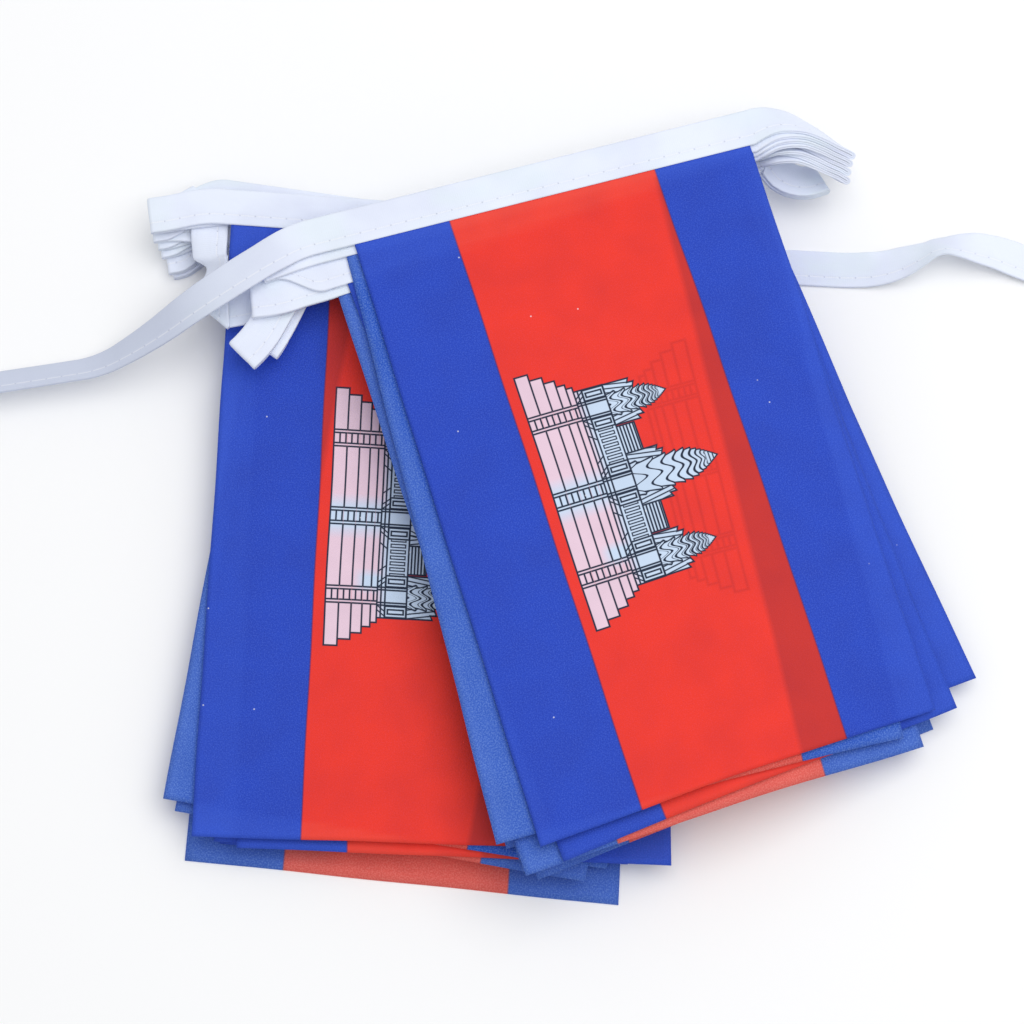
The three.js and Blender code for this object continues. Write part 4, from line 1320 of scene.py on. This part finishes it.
# %% Material: other side
BLUE_REVERSE = colour(42, 88, 194)
RED_REVERSE = colour(230, 84, 74)
SOAKED = dict(ground=0.75, ink=0.45)
REVERSE_GRAIN = dict(size=0.5, detail=1.5)
REVERSE_PALER = dict(limit=0.58, share=0.34, red=colour(240, 160, 150), blue=colour(140, 172, 228))
REVERSE_DARKER = dict(limit=0.6, share=0.26, red=colour(170, 50, 50), blue=colour(24, 60, 150))
REVERSE_BARE = 0.15  # share of the paler colour where no cloth lies below: painted light that comes back through the thin cloth from the floor
REVERSE_CLOUDS = dict(size=12.0, share=0.3, less=0.08)
REVERSE_FINISH = dict(
    rough=0.74, rough_grain=0.14, weave=0.5, grain=0.7, depth=0.07, sheen=0.05, gloss=0.14,
)


def reverse_side():
    """The same drawing with less ink, and a stronger grain of paler and darker threads."""
    paint = Paint("flag_other_side")
    u, v = print_places(paint, "print")
    is_red, base = stripes(paint, u, RED_REVERSE, BLUE_REVERSE)
    mask, ink = temple(u, v)
    base = paint.mix(mask * SOAKED["ground"], base, temple_white(paint, u, v))
    base = paint.mix(ink * SOAKED["ink"], base, INK)
    paler = paint.mix(is_red, REVERSE_PALER["blue"], REVERSE_PALER["red"])
    darker = paint.mix(is_red, REVERSE_DARKER["blue"], REVERSE_DARKER["red"])
    grain = paint.noise(u, v, REVERSE_GRAIN["size"], REVERSE_GRAIN["detail"])
    base = paint.mix(threads(grain, REVERSE_PALER["limit"]) * REVERSE_PALER["share"], base, paler)
    base = paint.mix(threads(1 - grain, REVERSE_DARKER["limit"]) * REVERSE_DARKER["share"], base, darker)
    # painted light through the thin cloth where nothing lies under it
    base = paint.mix((1 - layers_below(paint)) * REVERSE_BARE, base, paler)
    clouds = paint.noise(u, v, REVERSE_CLOUDS["size"])
    clouds = clouds.math("MULTIPLY_ADD", REVERSE_CLOUDS["share"], -REVERSE_CLOUDS["less"], clamp=True)
    base = paint.mix(clouds, base, darker)
    return finish_cloth(paint, base, u, v, grain, REVERSE_FINISH)


reverse = reverse_side()

# %% [markdown]
# ## The tape's finish
# The tape is a cool white polyester with a fine rib across it. One row of stitches runs along its open
# edge, with a small hole and a dimple at each needle stroke, and the cloth puckers a little between
# them. The stitches could be a mesh of a thousand small threads. From this far they are less than a
# pixel, so they are drawn on the band's own coordinates: along it and out from its open edge. Shade is
# painted into the groove along the seam, into the needle holes, and over the left loose end.

# %% Material: tape
TAPE_WHITE = colour(233, 239, 253)
# a tint for the slow random drifts, and painted shade in the groove along the seam
TAPE_TINT_AND_GROOVE_SHADE = colour(220, 225, 243)
TAPE_GREEN = colour(224, 237, 240)
# painted shade for the left loose end, which is tilted away from the light
TAPE_PAINTED_SHADE = colour(196, 203, 222)
STITCH_WHITE = colour(248, 249, 252)
HOLE_PAINTED_SHADE = colour(150, 156, 186)
SEAM = dict(from_edge=3.4, stitch=5.3, half=0.6, soft=1.6, share=0.22)  # mm, and the share of painted shade in the seam's groove
# size of a needle hole in mm, and the share of painted shade in it
HOLE = dict(size=0.26, soft=0.3, share=0.26)
SEWING_THREAD = dict(half=0.24, soft=0.2, share=0.35)
LEFT_END_PAINTED_SHADE = dict(until=112.0, soft=60.0, share=0.8)  # mm from the left loose end, over which shade is painted, as that end is tilted away from the light
SHADE_DRIFT = dict(along=1.0, size=24.0, limit=0.52, soft=0.3, share=0.6)
GREEN_DRIFT = dict(along=0.6, size=17.0, limit=0.6, soft=0.2, share=0.4)
RIB = 0.36  # mm from one rib to the next
FINE = dict(size=0.4, detail=1.0)
PUCKER = dict(along=0.9, out=0.35, size=2.6)
CREASE = dict(along=0.22, out=0.8, size=3.0)
RELIEF = dict(rib=0.03, fine=0.12, pucker=0.7, seam=-0.45, hole=-0.3, thread=0.2, crease=0.6)
RELIEF_DEPTH = 0.28  # mm
TAPE_FINISH = dict(rough=0.7, rough_grain=0.16, sheen=0.05, gloss=0.3)


def drift(paint, s, out, kind):
    """Where a slow random tint lies on the tape."""
    spots = paint.noise(s * kind["along"], out, kind["size"])
    return beyond(spots, kind["limit"], kind["soft"]) * kind["share"]


def stitches(s, out):
    """The row of stitches: holes at even steps along the seam, thread between them, and the shallow
    groove that it pulls the cloth into."""
    off_seam = out - SEAM["from_edge"]
    along = nearest(s, SEAM["stitch"])
    to_hole = (along * along + off_seam * off_seam).math("SQRT")
    hole = filled(to_hole - HOLE["size"], HOLE["soft"])
    thread = filled(abs(off_seam) - SEWING_THREAD["half"], SEWING_THREAD["soft"]) * (1 - hole)
    return hole, thread, filled(abs(off_seam) - SEAM["half"], SEAM["soft"])


def tape_finish():
    """White with slow tints, the row of stitches, and a relief of rib, puckers and creases. Shade is
    painted into the seam's groove, the needle holes and the left loose end.
    """
    paint = Paint("stitched_tape")
    s, turn = paint.places("band", float(tape_length), 2 * TAPE_WIDE)
    out = least(turn, 2 * TAPE_WIDE - turn)
    hole, thread, seam = stitches(s, out)
    base = paint.mix(drift(paint, s, out, SHADE_DRIFT), TAPE_WHITE, TAPE_TINT_AND_GROOVE_SHADE)
    base = paint.mix(drift(paint, s, out, GREEN_DRIFT), base, TAPE_GREEN)
    # painted shade: the left loose end is darker, as it is tilted away from the light
    left_end_painted_shade = (1 - beyond(s, LEFT_END_PAINTED_SHADE["until"], LEFT_END_PAINTED_SHADE["soft"])) * LEFT_END_PAINTED_SHADE["share"]
    base = paint.mix(left_end_painted_shade, base, TAPE_PAINTED_SHADE)
    # painted shade in the shallow groove that the seam pulls the cloth into
    base = paint.mix(seam * SEAM["share"], base, TAPE_TINT_AND_GROOVE_SHADE)
    base = paint.mix(thread * SEWING_THREAD["share"], base, STITCH_WHITE)
    # painted shade in each needle hole
    base = paint.mix(hole * HOLE["share"], base, HOLE_PAINTED_SHADE)
    fine = paint.noise(s, out, FINE["size"], FINE["detail"])
    relief = dict(
        rib=(s * (np.pi / RIB)).math("SINE"),
        fine=fine,
        pucker=paint.noise(s * PUCKER["along"], out * PUCKER["out"], PUCKER["size"]) * seam,
        seam=seam,
        hole=hole,
        thread=thread,
        crease=paint.noise(s * CREASE["along"], out * CREASE["out"], CREASE["size"]),
    )
    height = sum(relief[name] * high for name, high in RELIEF.items())
    paint.surface(
        Base_Color=base,
        Roughness=TAPE_FINISH["rough"] + fine * TAPE_FINISH["rough_grain"],
        Normal=paint.bump(height, RELIEF_DEPTH),
        Sheen_Weight=TAPE_FINISH["sheen"],
        Sheen_Roughness=SHEEN_ROUGHNESS,
        Specular_IOR_Level=TAPE_FINISH["gloss"],
    )
    print(paint.material.name, "has", len(paint.tree.nodes), "nodes")
    return paint.material


white = tape_finish()

# %% [markdown]
# ## Which side is up
# The flags lie face up and face down in turn, because the string was folded at every flag. A copy of
# each material for each flag would do as well. The two sides are shared by all twenty instead: the first
# material is the upper face, and the second is the wall below it.

# %% Finishes on the pieces
for (pile, number), flag in flags.items():
    print_up = number % 2 == 1
    for material in ((printed, reverse) if print_up else (reverse, printed)):
        flag.data.materials.append(material)
tape.data.materials.append(white)
print("finishes:", printed.name, reverse.name, white.name)

# %% [markdown]
# ## Floor and light
# The photograph is cut out on white with hardly a shadow. A pale floor, an even white sky and one large
# lamp give nearly that, and keep the thin shadows under the cloth edges, which tell the layers apart.
# A sun lamp would draw hard edges that the picture does not have.

# %% Floor and light
FLOOR_HALF = 3.0  # m
FLOOR_WHITE = colour(252, 252, 252)
FLOOR_ROUGHNESS = 0.95
SKY_COLOUR = (0.97, 0.98, 1.0, 1.0)
SKY_STRENGTH = 0.6
LAMP = dict(power=13.0, size=1.5, at=(0.4, 0.2, 1.35))  # watts and metres


def add_floor():
    """A square about the origin, at the height of the model's lowest point."""
    mesh = bpy.data.meshes.new("floor")
    half = FLOOR_HALF
    corners = [(-half, -half, 0), (half, -half, 0), (half, half, 0), (-half, half, 0)]
    mesh.from_pydata(corners, [], [(0, 1, 2, 3)])
    floor = bpy.data.objects.new("floor", mesh)
    bpy.context.scene.collection.objects.link(floor)
    paint = Paint("pale_floor")
    paint.surface(Base_Color=FLOOR_WHITE, Roughness=FLOOR_ROUGHNESS)
    mesh.materials.append(paint.material)
    return floor


def add_light():
    """An even sky, and one square lamp that looks at the origin."""
    data = bpy.data.lights.new("lamp", "AREA")
    data.energy = LAMP["power"]
    data.size = LAMP["size"]
    lamp = bpy.data.objects.new("lamp", data)
    lamp.location = LAMP["at"]
    lamp.rotation_euler = (-lamp.location).to_track_quat("-Z", "Y").to_euler()
    bpy.context.scene.collection.objects.link(lamp)
    world = bpy.data.worlds.new("sky")
    bpy.context.scene.world = world
    world.use_nodes = True
    sky = world.node_tree.nodes["Background"]
    sky.inputs["Color"].default_value = SKY_COLOUR
    sky.inputs["Strength"].default_value = SKY_STRENGTH


floor = add_floor()
add_light()
bpy.context.scene.view_settings.view_transform = "Standard"
print("floor and light stand")
